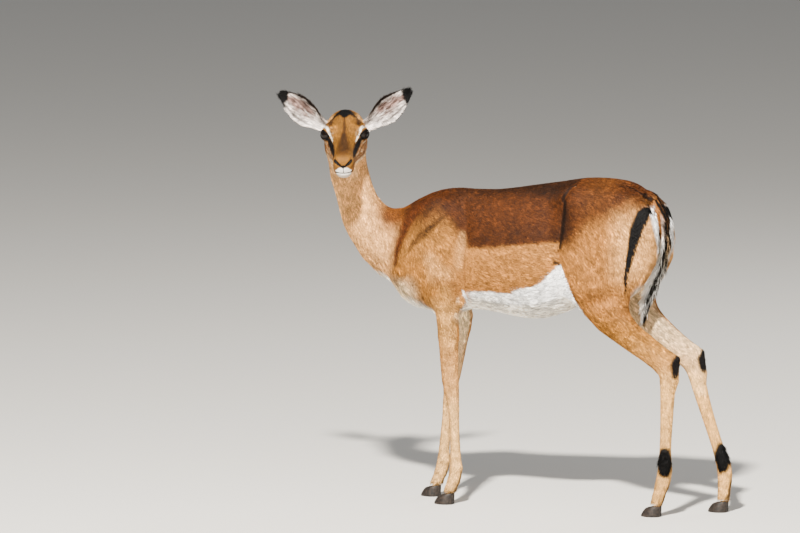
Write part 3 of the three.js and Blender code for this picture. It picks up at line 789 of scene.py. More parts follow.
    # Neck: pale at the sides and throat, orange down the nape.
    neck = (parts == IS["neck"]) | (x > 400) & ~head & ~ear & ~leg
    layer(neck * ramp(x + (z - 600) * 0.2, 390, 440), NECK)
    nape = ramp(-(normals @ unit(np.array([-0.35, 0.93, 0.1]))) + wobble * 0.1, 0.1, 0.6)
    layer(neck * nape * ramp(z, 690, 780), NAPE)
    layer(neck * ramp(normals[:, 2], 0.0, 0.6) * fall(x, 430, 500), NAPE)
    layer(
        neck * ramp(
            normals @ unit(np.array([-0.1, 0.9, -0.3])), 0.5, 0.95
        ) * ramp(z, 820, 900) * 0.7,
        CREAM
    )
    # Painted shade in the hollow where the neck meets the shoulder, over both.
    stroke(
        [(330, 66, 772), (352, 66, 742), (368, 64, 708), (378, 60, 672), (382, 56, 638)],
        [10, 18, 22, 20, 10], HOLLOW_SHADE_RED, soft=0.85, where=~head & ~ear, amount=0.75
    )

    # Belly, chest floor and the insides of the legs.
    white_top = line_at(
        x, [(-76, 638), (-53, 614), (-25, 589), (3, 576), (45, 566), (60, 558), (190, 557)]
    )
    under = fall(z + wobble * 3, white_top - 3, white_top + 4) * (1 - rear) * fall(x, 172, 194)
    layer(under * ~leg, WHITE)
    layer(
        ramp(-normals[:, 2] + wobble * 0.1, 0.45, 0.8) * (z < 600) * ~leg * ~head * ~ear, UNDERSIDE
    )
    layer(
        ramp(-out_y + wobble * 0.15, 0.1, 0.6) * (z < 600) * (z > 300) * ~head * ~ear * ~neck
        * (x < 420) * 0.85, CREAM
    )
    layer(
        ramp(-out_y + wobble * 0.15, 0.1, 0.6) * (x < -100) * (z < 560) * ramp(z, 330, 400) * 0.7,
        INNER_LEG
    )
    layer(
        (x < -150) * ramp(-normals[:, 0] + wobble * 0.15, 0.35, 0.85) * (z < 540)
        * ramp(z, 370, 420) * 0.5, TAN
    )
    layer(
        ramp(-normals[:, 0] + wobble * 0.1, 0.7, 0.95) * (x > 180) * (x < 280)
        * ramp(z + wobble * 12, 460, 510) * (z < 556) * 0.5, CREAM
    )

    # White rump patch between the black stripes.
    rump = line_at(z, [(545, 24), (600, 30), (650, 38), (690, 50), (730, 60), (790, 60)])
    layer(
        (z > 545) * fall(z, 782, 796) * ramp(-x, 244, 256) * fall(a + wobble * 4, rump, rump + 14)
        * ramp(-normals[:, 0], 0.1, 0.4) * ~tail * ~leg, WHITE
    )
    stripe = [
        (-305, 52, 792), (-294, 66, 770), (-283, 78, 735), (-276, 83, 700), (-269, 87, 665),
        (-263, 89, 640), (-257, 90, 606), (-254, 90, 572)
    ]
    widths = [14, 34, 34, 28, 20, 14, 9, 3]
    stroke(stripe, widths, BLACK, soft=0.15, sides=False, where=~tail & ~leg)
    far_stripe = [(sx - 8, 10 - sy, sz) for sx, sy, sz in stripe]
    stroke(far_stripe, widths, BLACK, soft=0.15, sides=False, where=~tail & ~leg)
    stroke(
        [(-298, 56, 798), (-306, 40, 806), (-306, 22, 812)], [10, 8, 6], BLACK, where=~tail,
        amount=0.7
    )
    stroke(
        [(-232, 34, 842), (-256, 31, 837), (-280, 27, 827), (-300, 20, 812)], [3, 5, 7, 8], DARK,
        soft=0.5, sides=False, where=~tail
    )
    stroke(
        [(-60, 102, 645), (-66, 102, 641), (-76, 102, 638)], [7, 10, 5], DARK, sides=False,
        amount=0.9
    )

    # Legs: paler below the knee and hock.
    area = leg
    layer(fall(z + wobble * 20, 330, 480) * 0.6, PALE)
    hind = leg & (x < 0)
    layer(hind * fall(z + wobble * 10, 330, 400) * 0.5, HIND_CREAM)
    layer((x > 0) * fall(z + wobble * 10, 230, 330) * 0.5, FORE_CREAM)
    # Painted shade down the fronts of the forelegs.
    layer(ramp(normals[:, 0], 0.1, 0.8) * (x > 0) * 0.35, TAN)
    layer(hind * ramp(normals[:, 0], 0.3, 0.9) * (z < 370) * 0.4, TAN)
    for name, line in LEG_LINES.items():
        kx, ky, kz = line[3]
        fx, fy, _ = line[5]
        if name.startswith("hind"):
            hock_out, gland_out, gland_ahead = HIND_PATCHES[name]
            stroke(
                [
                    (kx - 26, ky + hock_out, kz + 36), (kx - 27, ky + hock_out, kz + 16),
                    (kx - 22, ky + hock_out, kz - 10)
                ],
                [18, 38, 20], HOCK, sides=False
            )
            gx = fx + gland_ahead
            stroke(
                [
                    (gx - 2, fy + gland_out, 167), (gx - 2, fy + gland_out, 145),
                    (gx - 5, fy + gland_out, 124)
                ],
                [30, 52, 34], BLACK, sides=False, where=z > 80
            )
            stroke(
                [(fx - 22, fy, 84), (fx - 4, fy, 50), (fx + 6, fy, 34)], [9, 12, 10], DARK,
                sides=False, amount=0.8
            )
        else:
            stroke(
                [(fx - 19, fy, 84), (fx - 8, fy, 56), (fx + 2, fy, 34)], [8, 12, 12], DARK,
                sides=False, amount=0.7
            )
    layer(fall(z, 30, 40) * 0.7, CORONET)

    # Tail: tan above, white below, with a black line down its rear.
    area = tail
    if tail.any():
        _, t = nearest_on_line(points, TAIL_LINE)
        along = t / (len(TAIL_LINE) - 1)
        layer(1.0, TAIL)
        layer(fall(along, 0.08, 0.2), RED_TAN)
        layer(ramp(noise(points, 3, 12), 0.2, 0.5) * 0.5, DARK)
        layer(ramp(along + wobble * 0.06, 0.34, 0.58), CREAM)
        layer(ramp(along, 0.45, 0.65), WHITE)
        layer(ramp(a, 10, 17) * ramp(along, 0.2, 0.4) * 0.8, WHITE)
        fore_aft = x - line_at(-z, [(-corner[2], corner[0]) for corner in TAIL_LINE])
        centre = fall(np.abs(fore_aft + 5 + wobble * 2), 2.5, 5)
        layer(centre * fall(along, 0.8, 0.95) * ramp(np.abs(normals[:, 1]), 0.1, 0.4), TAIL_BLACK)
        layer(
            (a < 4.5 + 2 * wobble) * ramp(-normals[:, 0], -0.2, 0.2) * ramp(along, 0.02, 0.1), BLACK
        )

    # Head.
    area = head
    if head.any():
        h = local(HEAD, points)
        place, here = HEAD, h
        hx, hy, hz = h.T
        ha = np.abs(hy)
        side_face = ramp(ha, 24, 36)
        layer(1.0, FACE)
        layer(side_face * ramp(hx, 60, 100) * ramp(-hz, -8, 6) * 0.85, CHEEK)
        layer(ramp(-hz + wobble * 4, 4, 30) * 0.6, CHEEK)
        layer(ramp(-hz + wobble * 5, 34, 56) * 0.8, CREAM)
        layer(side_face * fall(hx, 50, 84) * 0.5, PALE)
        layer(fall(hx, 0, 26) * ramp(hz, 0, 20), CROWN)
        layer(side_face * ramp(noise(points, 4, 8), 0.1, 0.6) * ramp(hx, 90, 120) * 0.35, CREAM)
        # The brown streak down the bridge, darkest halfway, between golden bands.
        stroke(
            [(66, 0, 50), (96, 0, 42), (122, 0, 36), (150, 0, 32), (178, 0, 30), (194, 0, 28)],
            [4, 7, 14, 30, 44, 36], BRIDGE, soft=0.6, sides=False, amount=0.75
        )
        stroke(
            [(122, 0, 36), (142, 0, 33), (164, 0, 31), (184, 0, 29)], [6, 14, 24, 20], DARK,
            soft=0.8, sides=False, amount=0.5
        )
        stroke(
            [(60, 35, 41), (74, 37, 39), (90, 36, 37)], [9, 14, 9], BRIDGE, soft=0.8, amount=0.85
        )
        # Crown patch and the dark lines that run from it to the ears.
        stroke([(10, 0, 40), (36, 0, 47), (60, 0, 49)], [24, 50, 12], BLACK, sides=False)
        stroke(
            [(38, 6, 47), (45, 20, 44), (53, 34, 37), (60, 46, 25), (66, 53, 13)],
            [26, 12, 7, 6, 5], BLACK, soft=0.3, amount=0.95
        )
        # Pale brow, and the paler ring under the eye.
        stroke(
            [(66, 54, 18), (80, 54, 27), (95, 44, 33), (106, 37, 24), (112, 34, 17), (126, 32, 11)],
            [2.5, 4, 5.5, 6, 4.5, 2], BROW, soft=0.5
        )
        stroke([(74, 60, 20), (62, 59, 22), (50, 56, 22)], [6, 5, 4], BLACK, soft=0.5, amount=0.85)
        stroke([(76, 61, -6), (92, 58, -9), (108, 48, -6)], [4, 6, 5], CREAM, soft=0.6, amount=0.6)
        # Dark band from the corner of the eye down the muzzle.
        stroke(
            [(104, 43, 10), (122, 40, 4), (142, 38, 2), (160, 35, 2), (174, 33, 2), (184, 32, 1)],
            [10, 15, 20, 20, 14, 6], DARK, soft=0.5
        )
        stroke(
            [(104, 43, 10), (122, 40, 5), (142, 37, 4), (158, 35, 3)], [9, 11, 9, 4], BLACK,
            soft=0.5, amount=0.9
        )
        # Muzzle: white lips and chin, black nostrils and mouth line.
        lip = -hz + wobble * 1.5 - 10 * ramp(ha, 9, 22)
        layer(ramp(hx, 196, 206) * ramp(lip, 5, 9) * fall(ha, 18, 23), LIP)
        layer(ramp(hx, 150, 190) * ramp(-hz + wobble * 3, 27, 34), JAW)
        # The chin is painted grey: its own grey-white hair, darkened by painted shade under the
        # head.
        layer(ramp(hx, 150, 185) * ramp(-hz + wobble * 2, 25, 33) * 0.85, CHIN_GREY_AND_SHADE)
        stroke(
            [(210, 20, 8), (213, 17, 6), (218, 12, 2), (223, 6, -3), (224, 0, -6)],
            [4, 8, 7.5, 5, 7], BLACK, soft=0.2
        )
        stroke(
            [(224, 0, -4), (224, 0, -10), (223, 0, -22)], [8, 2.6, 2.2], BLACK, soft=0.2,
            sides=False
        )
        stroke(
            [(222, 0, -23), (217, 9, -23), (203, 18, -23), (184, 25, -24), (166, 28, -22)],
            [3.4, 3.6, 3.4, 3, 2], BLACK, soft=0.25
        )
        # The rims of the eyes.
        for side in (1, -1):
            distance, _, outside = round_eye(h, side)
            layer((distance < 26) * fall(outside + wobble * 2, 8, 12), BLACK)

    # Ears: tan backs, black tips, dark rims and pale hair inside.
    for side, name in EAR_SIDES:
        area = parts == IS[name]
        if not area.any():
            continue
        e = local(EARS[side], points)
        en = normals @ EARS[side][:3, :3]
        ex, ey, _ = e.T
        inside = ramp(en[:, 2], -0.05, 0.25)
        half = line_at(
            ex / EAR_LENGTH,
            [
                (0, 15), (0.13, 18), (0.24, 24), (0.38, 33), (0.5, 36.5), (0.6, 35.5), (0.7, 30.5),
                (0.8, 24), (0.89, 17.5), (0.95, 13), (1, 7.5)
            ]
        )
        across = ey * side / half  # 1 at the upper rim, -1 at the lower
        layer(1.0, EAR_BACK)
        layer(inside, EAR_HAIR)
        patch = ramp(ex, 30, 62) * fall(ex + 22 * across, 128, 150) * ramp(
            across + wobble * 0.25, -0.7, 0.0
        ) * fall(across, 0.5, 0.72)
        layer(
            inside * patch * ramp(noise(e * (0.5, 1, 1), 9, 5) + 0.5 * wobble, -0.9, 0.2) * 0.85,
            PINK
        )
        layer(
            inside * ramp(noise(e * (0.25, 1.6, 1), 3.4, 6), -0.05, 0.3) * ramp(ex, 20, 50)
            * ramp(across, -0.7, -0.3) * 0.75, EAR_STREAK
        )
        layer(
            inside * ramp(-across + wobble * 0.1, 0.5, 0.62)
            * fall(-across + wobble * 0.1, 0.66, 0.8) * ramp(ex, 40, 60) * 0.85, EAR_LINE
        )
        layer(inside * fall(ex, 22, 44) * ramp(across, -0.4, 0.3) * 0.5, EAR_ROOT_HAIR)
        layer(ramp(across + wobble * 0.05, 0.66, 0.78) * ramp(ex, 14, 40), DARK)
        layer(ramp(-across + wobble * 0.03, 0.86, 0.93) * ramp(ex, 60, 90) * 0.8, DARK)
        tip = ramp(ex + wobble * 4 - across * 9, 0.79 * EAR_LENGTH, 0.83 * EAR_LENGTH)
        layer(tip, BLACK)
    return colour


def add_colour(mesh, name, values):
    layer = mesh.attributes.new(name, "FLOAT_COLOR", "POINT")
    rgba = np.ones((len(values), 4), np.float32)
    rgba[:, :3] = values
    layer.data.foreach_set("color", rgba.ravel())


add_colour(skin_mesh, "coat", paint(skin_flat, skin_normals, skin_parts))

# ---- Materials -------------------------------------------------------------------------------


def new_material(name, roughness, specular=0.5):
    material = bpy.data.materials.new(name)
    material.use_nodes = True
    tree = material.node_tree
    shader = tree.nodes["Principled BSDF"]
    shader.inputs["Roughness"].default_value = roughness
    shader.inputs["Specular IOR Level"].default_value = specular
    return material, tree, shader


def node(tree, kind, **settings):
    made = tree.nodes.new(kind)
    for key, value in settings.items():
        if key in made.inputs.keys():
            made.inputs[key].default_value = value
        else:
            setattr(made, key, value)
    return made


def speckled(tree, shader, attribute, scale, low, high, bump, bump_scale):
    """Colour from a mesh attribute, made lighter and darker by fine noise, with bump."""
    source = node(tree, "ShaderNodeAttribute", attribute_name=attribute)
    position = node(tree, "ShaderNodeNewGeometry")
    grain = node(tree, "ShaderNodeTexNoise", Scale=scale, Detail=3.0, Roughness=0.6)
    tree.links.new(position.outputs["Position"], grain.inputs["Vector"])
    spread = node(tree, "ShaderNodeMapRange")
    spread.inputs["From Min"].default_value = 0.3
    spread.inputs["From Max"].default_value = 0.7
    spread.inputs["To Min"].default_value = low
    spread.inputs["To Max"].default_value = high
    tree.links.new(grain.outputs["Fac"], spread.inputs["Value"])
    mix = node(tree, "ShaderNodeVectorMath", operation="SCALE")
    tree.links.new(source.outputs["Color"], mix.inputs[0])
    tree.links.new(spread.outputs["Result"], mix.inputs["Scale"])
    tree.links.new(mix.outputs["Vector"], shader.inputs["Base Color"])
    fine = node(tree, "ShaderNodeTexNoise", Scale=bump_scale, Detail=2.0)
    tree.links.new(position.outputs["Position"], fine.inputs["Vector"])
    raised = node(tree, "ShaderNodeBump", Strength=bump, Distance=0.001)
    tree.links.new(fine.outputs["Fac"], raised.inputs["Height"])
    tree.links.new(raised.outputs["Normal"], shader.inputs["Normal"])


def mottled(tree, shader, scale, detail, stops, vector=None):
    """Colour that wanders between two stops, each a place and a colour, with smooth noise."""
    clouds = node(tree, "ShaderNodeTexNoise", Scale=scale, Detail=detail)
    if vector is not None:
        tree.links.new(vector, clouds.inputs["Vector"])
    tone = node(tree, "ShaderNodeValToRGB")
    for element, (place, colour) in zip(tone.color_ramp.elements, stops):
        element.position = place
        element.color = (*colour, 1)
    tree.links.new(clouds.outputs["Fac"], tone.inputs["Fac"])
    tree.links.new(tone.outputs["Color"], shader.inputs["Base Color"])


skin_look, tree, shader = new_material("skin_look", 0.66, 0.12)
speckled(tree, shader, "coat", 420.0, 0.82, 1.14, 0.5, 900.0)

LIE_SHARE = 0.45  # how much the skin's own normal evens out the shading of the tufts

coat_look, tree, shader = new_material("coat_look", 0.6, 0.12)
speckled(tree, shader, "coat", 300.0, 0.9, 1.1, 0.0, 900.0)
lie = node(tree, "ShaderNodeAttribute", attribute_name="lie")
geometry = node(tree, "ShaderNodeNewGeometry")
blend = node(tree, "ShaderNodeMix", data_type="VECTOR")
blend.inputs[0].default_value = LIE_SHARE
tree.links.new(geometry.outputs["Normal"], blend.inputs[4])
tree.links.new(lie.outputs["Vector"], blend.inputs[5])
even_normal = node(tree, "ShaderNodeVectorMath", operation="NORMALIZE")
tree.links.new(blend.outputs[1], even_normal.inputs[0])
tree.links.new(even_normal.outputs["Vector"], shader.inputs["Normal"])

skin_mesh.materials.append(skin_look)
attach(skin, "root")
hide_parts(*FLESH)

# ---- Lie of the coat -------------------------------------------------------------------------

# Which way the hair points, on her left: place, direction. Mirrored to her right.
BODY_FLOW = [
    ((540, 60, 930), (-0.05, 0.2, -1)), ((520, 0, 940), (0.1, -0.3, -1)),
    ((560, 70, 860), (0, 0.1, -1)), ((500, 10, 800), (-0.25, 0, -1)),
    ((560, 30, 780), (0.05, 0, -1)), ((470, 40, 740), (-0.5, 0.1, -1)),
    ((520, 30, 690), (-0.1, 0, -1)), ((440, 50, 680), (-0.5, 0, -1)),
    ((440, 0, 560), (-0.6, 0, -0.8)), ((380, 50, 620), (-0.35, 0, -1)),
    ((400, 20, 780), (-1, 0, -0.2)), ((340, 70, 740), (-0.7, 0, -0.8)),
    ((320, 90, 640), (-0.4, 0, -1)), ((270, 95, 560), (-0.2, 0, -1)), ((300, 30, 820), (-1, 0, 0)),
    ((240, 80, 760), (-0.9, 0, -0.6)),
    ((200, 100, 680), (-0.85, 0, -0.6)), ((190, 95, 580), (-0.9, 0, -0.4)),
    ((150, 20, 830), (-1, 0, 0)), ((120, 100, 740), (-1, 0, -0.45)),
    ((100, 110, 640), (-1, 0, -0.35)), ((120, 90, 530), (-1, 0, -0.1)), ((100, 0, 490), (-1, 0, 0)),
    ((0, 10, 840), (-1, 0, 0)),
    ((0, 105, 720), (-1, 0, -0.5)), ((-10, 110, 620), (-1, 0, -0.1)),
    ((-20, 80, 520), (-1, 0, 0.15)), ((-60, 100, 700), (-1, 0, -0.5)),
    ((-70, 95, 600), (-0.9, 0, 0.5)), ((-100, 60, 860), (-1, 0, -0.1)),
    ((-120, 100, 740), (-0.9, 0, -0.6)), ((-130, 105, 640), (-0.6, 0, -0.9)),
    ((-180, 105, 600), (-0.4, 0, -1)), ((-200, 60, 850), (-1, 0, -0.3)),
    ((-230, 95, 740), (-0.5, 0, -0.9)), ((-250, 95, 640), (-0.25, 0, -1)),
    ((-290, 60, 760), (-0.2, -0.1, -1)), ((-290, 40, 660), (0, -0.2, -1)),
    ((-230, 85, 540), (-0.4, 0, -1)), ((-290, 20, 820), (-0.8, 0, -0.6)),
]
HEAD_FLOW = [
    ((224, 0, 10), (-0.6, 0, 1)), ((210, 0, 26), (-1, 0, 0)), ((150, 0, 34), (-1, 0, 0)),
    ((90, 0, 46), (-1, 0, 0)), ((30, 0, 50), (-1, 0, 0)),
    ((210, 24, -10), (-1, 0.2, -0.3)), ((160, 30, 0), (-1, 0.2, -0.1)),
    ((150, 30, -30), (-1, 0.1, -0.2)), ((120, 40, -20), (-1, 0.2, -0.2)),
    ((110, 36, 26), (-1, 0.3, 0.3)), ((80, 44, 38), (-1, 0.3, 0.1)), ((60, 56, 10), (-1, 0, 0)),
    ((60, 54, -30), (-0.9, 0, -0.4)),
    ((110, 20, -62), (-1, 0, 0)), ((200, 8, -46), (-0.9, 0, -0.4)),
    ((222, 8, -30), (-0.2, 0.2, -1)), ((20, 40, -30), (-0.8, 0, -0.6)),
    ((0, 30, 20), (-1, 0, -0.3)),
]


def weighted(points, controls):
    """Directions at points, from the nearest controls on either side."""
    places = np.array([c[0] for c in controls] + [c[0] for c in controls], float)
    ways = unit(np.array([c[1] for c in controls] + [c[1] for c in controls], float))
    places[len(controls):, 1] *= -1
    ways[len(controls):, 1] *= -1
    found = np.zeros_like(points)
    for start in range(0, len(points), 20000):
        some = points[start : start + 20000]
        off = np.linalg.norm(some[:, None] - places[None], axis=2)
        weight = 1 / (off + 4) ** 3.5
        found[start : start + 20000] = weight @ ways / weight.sum(1, keepdims=True)
    return found


def down_line(points, line):
    line = np.asarray(line, float)
    _, t = nearest_on_line(points, line)
    ways = unit(np.diff(line, axis=0))
    at = np.clip(t - 0.5, 0, len(ways) - 1)
    low = np.floor(at).astype(int)
    high = np.minimum(low + 1, len(ways) - 1)
    f = (at - low)[:, None]
    return ways[low] * (1 - f) + ways[high] * f


def flow(points, normals, parts):
    """Which way the coat points, along the surface."""
    way = weighted(points, BODY_FLOW)
    head = kinds(parts)[0]
    if head.any():
        way[head] = weighted(local(HEAD, points[head]), HEAD_FLOW) @ HEAD[:3, :3].T
    for side, name in EAR_SIDES:
        on = parts == IS[name]
        if on.any():
            e = local(EARS[side], points[on])
            outward = np.stack([np.ones(len(e)), e[:, 1] * 0.012, np.zeros(len(e))], axis=1)
            way[on] = outward @ EARS[side][:3, :3].T
    for name, line in LEG_LINES.items():
        on = of_leg(parts, name)
        if on.any():
            way[on] = down_line(points[on], line)
    on = parts == IS["tail"]
    if on.any():
        way[on] = down_line(points[on], TAIL_LINE)
    way = way - normals * (way * normals).sum(1, keepdims=True)
    return unit(way)


# ---- Coat ------------------------------------------------------------------------------------


def roots(density):
    """Random places on the skin, about `density` per square millimetre of each triangle."""
    a, b, c = (skin_points[skin_tris[:, k]] for k in range(3))
    area = np.linalg.norm(np.cross(b - a, c - a), axis=1) / 2
    expected = area * density
    count = np.floor(expected + rng.random(len(expected))).astype(int)
    tri = np.repeat(np.arange(len(skin_tris)), count)
    u, v = rng.random(len(tri)), rng.random(len(tri))
    flip = u + v > 1
    u[flip], v[flip] = 1 - u[flip], 1 - v[flip]
    w = np.stack([1 - u - v, u, v], axis=1)[:, :, None]
    corners = skin_tris[tri]
    return {
        "at": (skin_points[corners] * w).sum(1),
        "flat": (skin_flat[corners] * w).sum(1),
        "normal": unit((skin_normals[corners] * w).sum(1)),
        "uv": (skin_uv[tri] * w).sum(1),
        "part": skin_parts[corners[:, 0]],
    }


def grain(points, way, normals):
    """Streaky noise along the coat, from cells small enough for its direction to be even."""
    near = points - np.round(points / 60) * 60
    side = np.cross(normals, way)
    laid = np.stack(
        [(near * way).sum(1) / 2.6, (near * side).sum(1), (near * normals).sum(1)], axis=1
    )
    return 0.6 * noise(laid, 3.4, 21) + 0.4 * noise(laid, 1.7, 22)


SPREAD = 0.16  # how far tufts turn aside from the lie of the coat, in radians
ROOT_DEPTH = 0.15  # how far each root is sunk in the skin
RIDGE_AT, RIDGE_HIGH = 0.42, 0.22  # the blade's ridge: its place along, and height by its width
BLADE = np.array([[0, 3, 1], [0, 2, 3], [1, 3, 2], [0, 1, 2]])  # two root corners, ridge, tip
UV_PATCH = np.array([[-0.0013, -0.0008], [0.0013, -0.0008], [0.0, 0.0004], [0.0, 0.0014]])


def chosen(r, mask):
    return {key: value[mask] for key, value in r.items()}


def tufts(name, r, length, width, lift, colour=None, tip_light=1.12, way=None):
    """One piece of coat: a thin closed blade at each root, lying along the coat.

    Lengths and widths are in millimetres, and `lift` is the rise off the skin in radians.
    """
    count = len(r["at"])
    length, width, lift = (np.broadcast_to(v, count).astype(float) for v in (length, width, lift))
    n = r["normal"]
    d = flow(r["at"], n, r["part"]) if way is None else way
    side = np.cross(n, d)
    angle = rng.normal(0, SPREAD, count)[:, None]
    d = d * np.cos(angle) + side * np.sin(angle)
    side = np.cross(n, d)
    streak = grain(r["at"], d, n)
    lift = lift * np.clip(1 + 0.6 * streak, 0.5, 1.8)
    long = (length * rng.uniform(0.75, 1.2, count))[:, None]
    wide = (width * rng.uniform(0.8, 1.2, count))[:, None]
    rise = np.tan(np.clip(lift * rng.uniform(0.6, 1.4, count), 0, 1.3))[:, None]
    sway = side * rng.normal(0, 0.06, count)[:, None]
    root = r["at"] - n * ROOT_DEPTH
    ridge = root + d * long * RIDGE_AT + n * (long * RIDGE_AT * rise + wide * RIDGE_HIGH)
    tip = root + (d + sway) * long + n * (long * rise * 0.85)
    points = np.stack([root - side * wide / 2, root + side * wide / 2, ridge, tip], axis=1)
    faces = (np.arange(count)[:, None, None] * 4 + BLADE).reshape(-1, 3)
    base = paint(r["flat"], n, r["part"]) if colour is None else np.tile(colour, (count, 1))
    each = rng.normal(1, 0.25, count).clip(0.4, 1.6)
    base = base * (each * np.exp(1.4 * streak + 0.3 * noise(r["at"], 11, 23) - 0.08))[:, None]
    # Each blade's two root corners are painted at half brightness, as shade between the hairs; the
    # tip is tip_light times the base.
    root_shade_by_corner = np.array([0.5, 0.5, 1.0, tip_light])
    colours = (base[:, None] * root_shade_by_corner[None, :, None]).reshape(-1, 3)
    piece = make_mesh(name, to_row(points.reshape(-1, 3)), faces)
    mesh = piece.data
    add_colour(mesh, "coat", colours)
    lie = mesh.attributes.new("lie", "FLOAT_VECTOR", "POINT")
    lie.data.foreach_set("vector", np.repeat(n, 4, axis=0).astype(np.float32).ravel())
    uv = mesh.uv_layers.new(name="OFBake")
    corner = (r["uv"][:, None] + UV_PATCH[None]).reshape(-1, 2)[faces.ravel()]
    uv.data.foreach_set("uv", corner.clip(0, 1).astype(np.float32).ravel())
    mesh.materials.append(coat_look)
    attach(piece, "root")


TUFTS_PER_MM2 = (0.45, 0.5, 0.35, 0.31, 0.28)  # on head, ears, tail, legs and body
BARE_NOSE = 198  # ahead of this the black skin of the nose has no coat

amount = 1.0
mid = skin_points[skin_tris].mean(1)
mid_part = skin_parts[skin_tris[:, 0]]
tri_kinds = kinds(mid_part)
tri_head = tri_kinds[0]
per_mm = np.select(tri_kinds, TUFTS_PER_MM2)
mid_h = local(HEAD, mid)
for side in (1, -1):
    distance, _, outside = round_eye(mid_h, side)
    per_mm = np.where(tri_head & (distance < 25) & (outside < 14), 0, per_mm)
painted = paint(skin_flat[skin_tris].mean(1), unit(skin_normals[skin_tris].sum(1)), mid_part)
bare = tri_head & (painted.sum(axis=1) < 0.06) & (mid_h[:, 0] > BARE_NOSE)
per_mm = np.where(bare, 0, per_mm)
all_roots = roots(per_mm * amount)
x, y, z = all_roots["at"].T
on_head, on_ear, on_tail, on_leg, on_body = kinds(all_roots["part"])


def body_length(points, normals):
    """Longer under the belly and chest and down the back of the thighs."""
    px, py, pz = points.T
    long = 9 + 2.0 * noise(points, 60, 9)
    long = long + 9 * ramp(-normals[:, 2], 0.3, 0.9) * (pz < 640)
    long = long + 5 * ramp(-px, 255, 290) * (np.abs(py) < 60)
    return long - 4 * ramp(pz, 780, 900) * (px > 450)


def left_and_right(pieces, is_left):
    """Each named mask split in two, so that no piece of coat is too large."""
    return {
        f"{name}_{side}": mask & half
        for name, mask in pieces.items()
        for side, half in (("left", is_left), ("right", ~is_left))
    }


BODY_PIECES = {
    "coat_shoulder": on_body & (x <= 385) & (x > 215),
    "coat_side": on_body & (x <= 215) & (x > 20),
    "coat_flank": on_body & (x <= 20) & (x > -110),
    "coat_haunch": on_body & (x <= -110),
}
for name, mask in {"coat_neck": on_body & (x > 385), **left_and_right(BODY_PIECES, y > 0)}.items():
    r = chosen(all_roots, mask)
    long = body_length(r["at"], r["normal"])
    tufts(name, r, long, 1.5, 0.13)
left_of_face = local(HEAD, all_roots["at"])[:, 1] > 0
for name, mask in left_and_right({"coat_face": on_head}, left_of_face).items():
    r = chosen(all_roots, mask)
    hx = local(HEAD, r["at"])[:, 0]
    tufts(
        name, r, 6.5 - 2.0 * ramp(hx, 90, 180) - 2.2 * ramp(hx, 190, 204),
        1.1 - 0.3 * ramp(hx, 180, 204), 0.12
    )
LEG_PIECES = {"coat_foreleg": on_leg & (x > 0), "coat_hindleg": on_leg & (x <= 0)}
for name, mask in left_and_right(LEG_PIECES, y > 0).items():
    r = chosen(all_roots, mask)
    rz = r["at"][:, 2]
    gland = (
        paint(r["flat"], r["normal"], r["part"]).sum(1) < 0.02
    ) * (rz > 95) * (rz < 190) * (r["at"][:, 0] < 0)
    coronet = fall(rz, 40, 52)
    length = 6.5 + 4 * ramp(rz, 360, 500) + 7 * gland + 4.5 * coronet
    tufts(
        name, r, length, 1.3 + 0.5 * ramp(rz, 360, 500) + 0.4 * gland,
        0.12 + 0.3 * gland + 0.1 * coronet
    )
r = chosen(all_roots, on_ear)
hairy = np.zeros(len(r["at"]))
for side, name in EAR_SIDES:
    inner = (r["normal"] @ EARS[side][:3, :3])[:, 2] > 0.1
    hairy = np.where((r["part"] == IS[name]) & inner, ramp(noise(r["at"], 7, 31), 0.0, 0.5), hairy)
tufts("coat_ears", r, 6.5 + 6 * hairy, 1.1, 0.1 + 0.12 * hairy)
r = chosen(all_roots, on_tail)
tail_along = nearest_on_line(r["at"], TAIL_LINE)[1]
tufts(
    "coat_tail", r, 10 + 20 * ramp(tail_along, 0.5, 4), 1.5, 0.16 + 0.12 * ramp(tail_along, 2, 5),
)

# ---- Eyes ------------------------------------------------------------------------------------

eye_look, tree, shader = new_material("eye_look", 0.08, 0.22)
speckled(tree, shader, "iris", 700.0, 0.8, 1.2, 0.0, 900.0)


EYE_ROWS, EYE_COLUMNS = 40, 72
EYE_BROWN, EYE_BLACK, PUPIL = rgb(16, 8, 4), rgb(6, 4, 3), rgb(6, 5, 6)


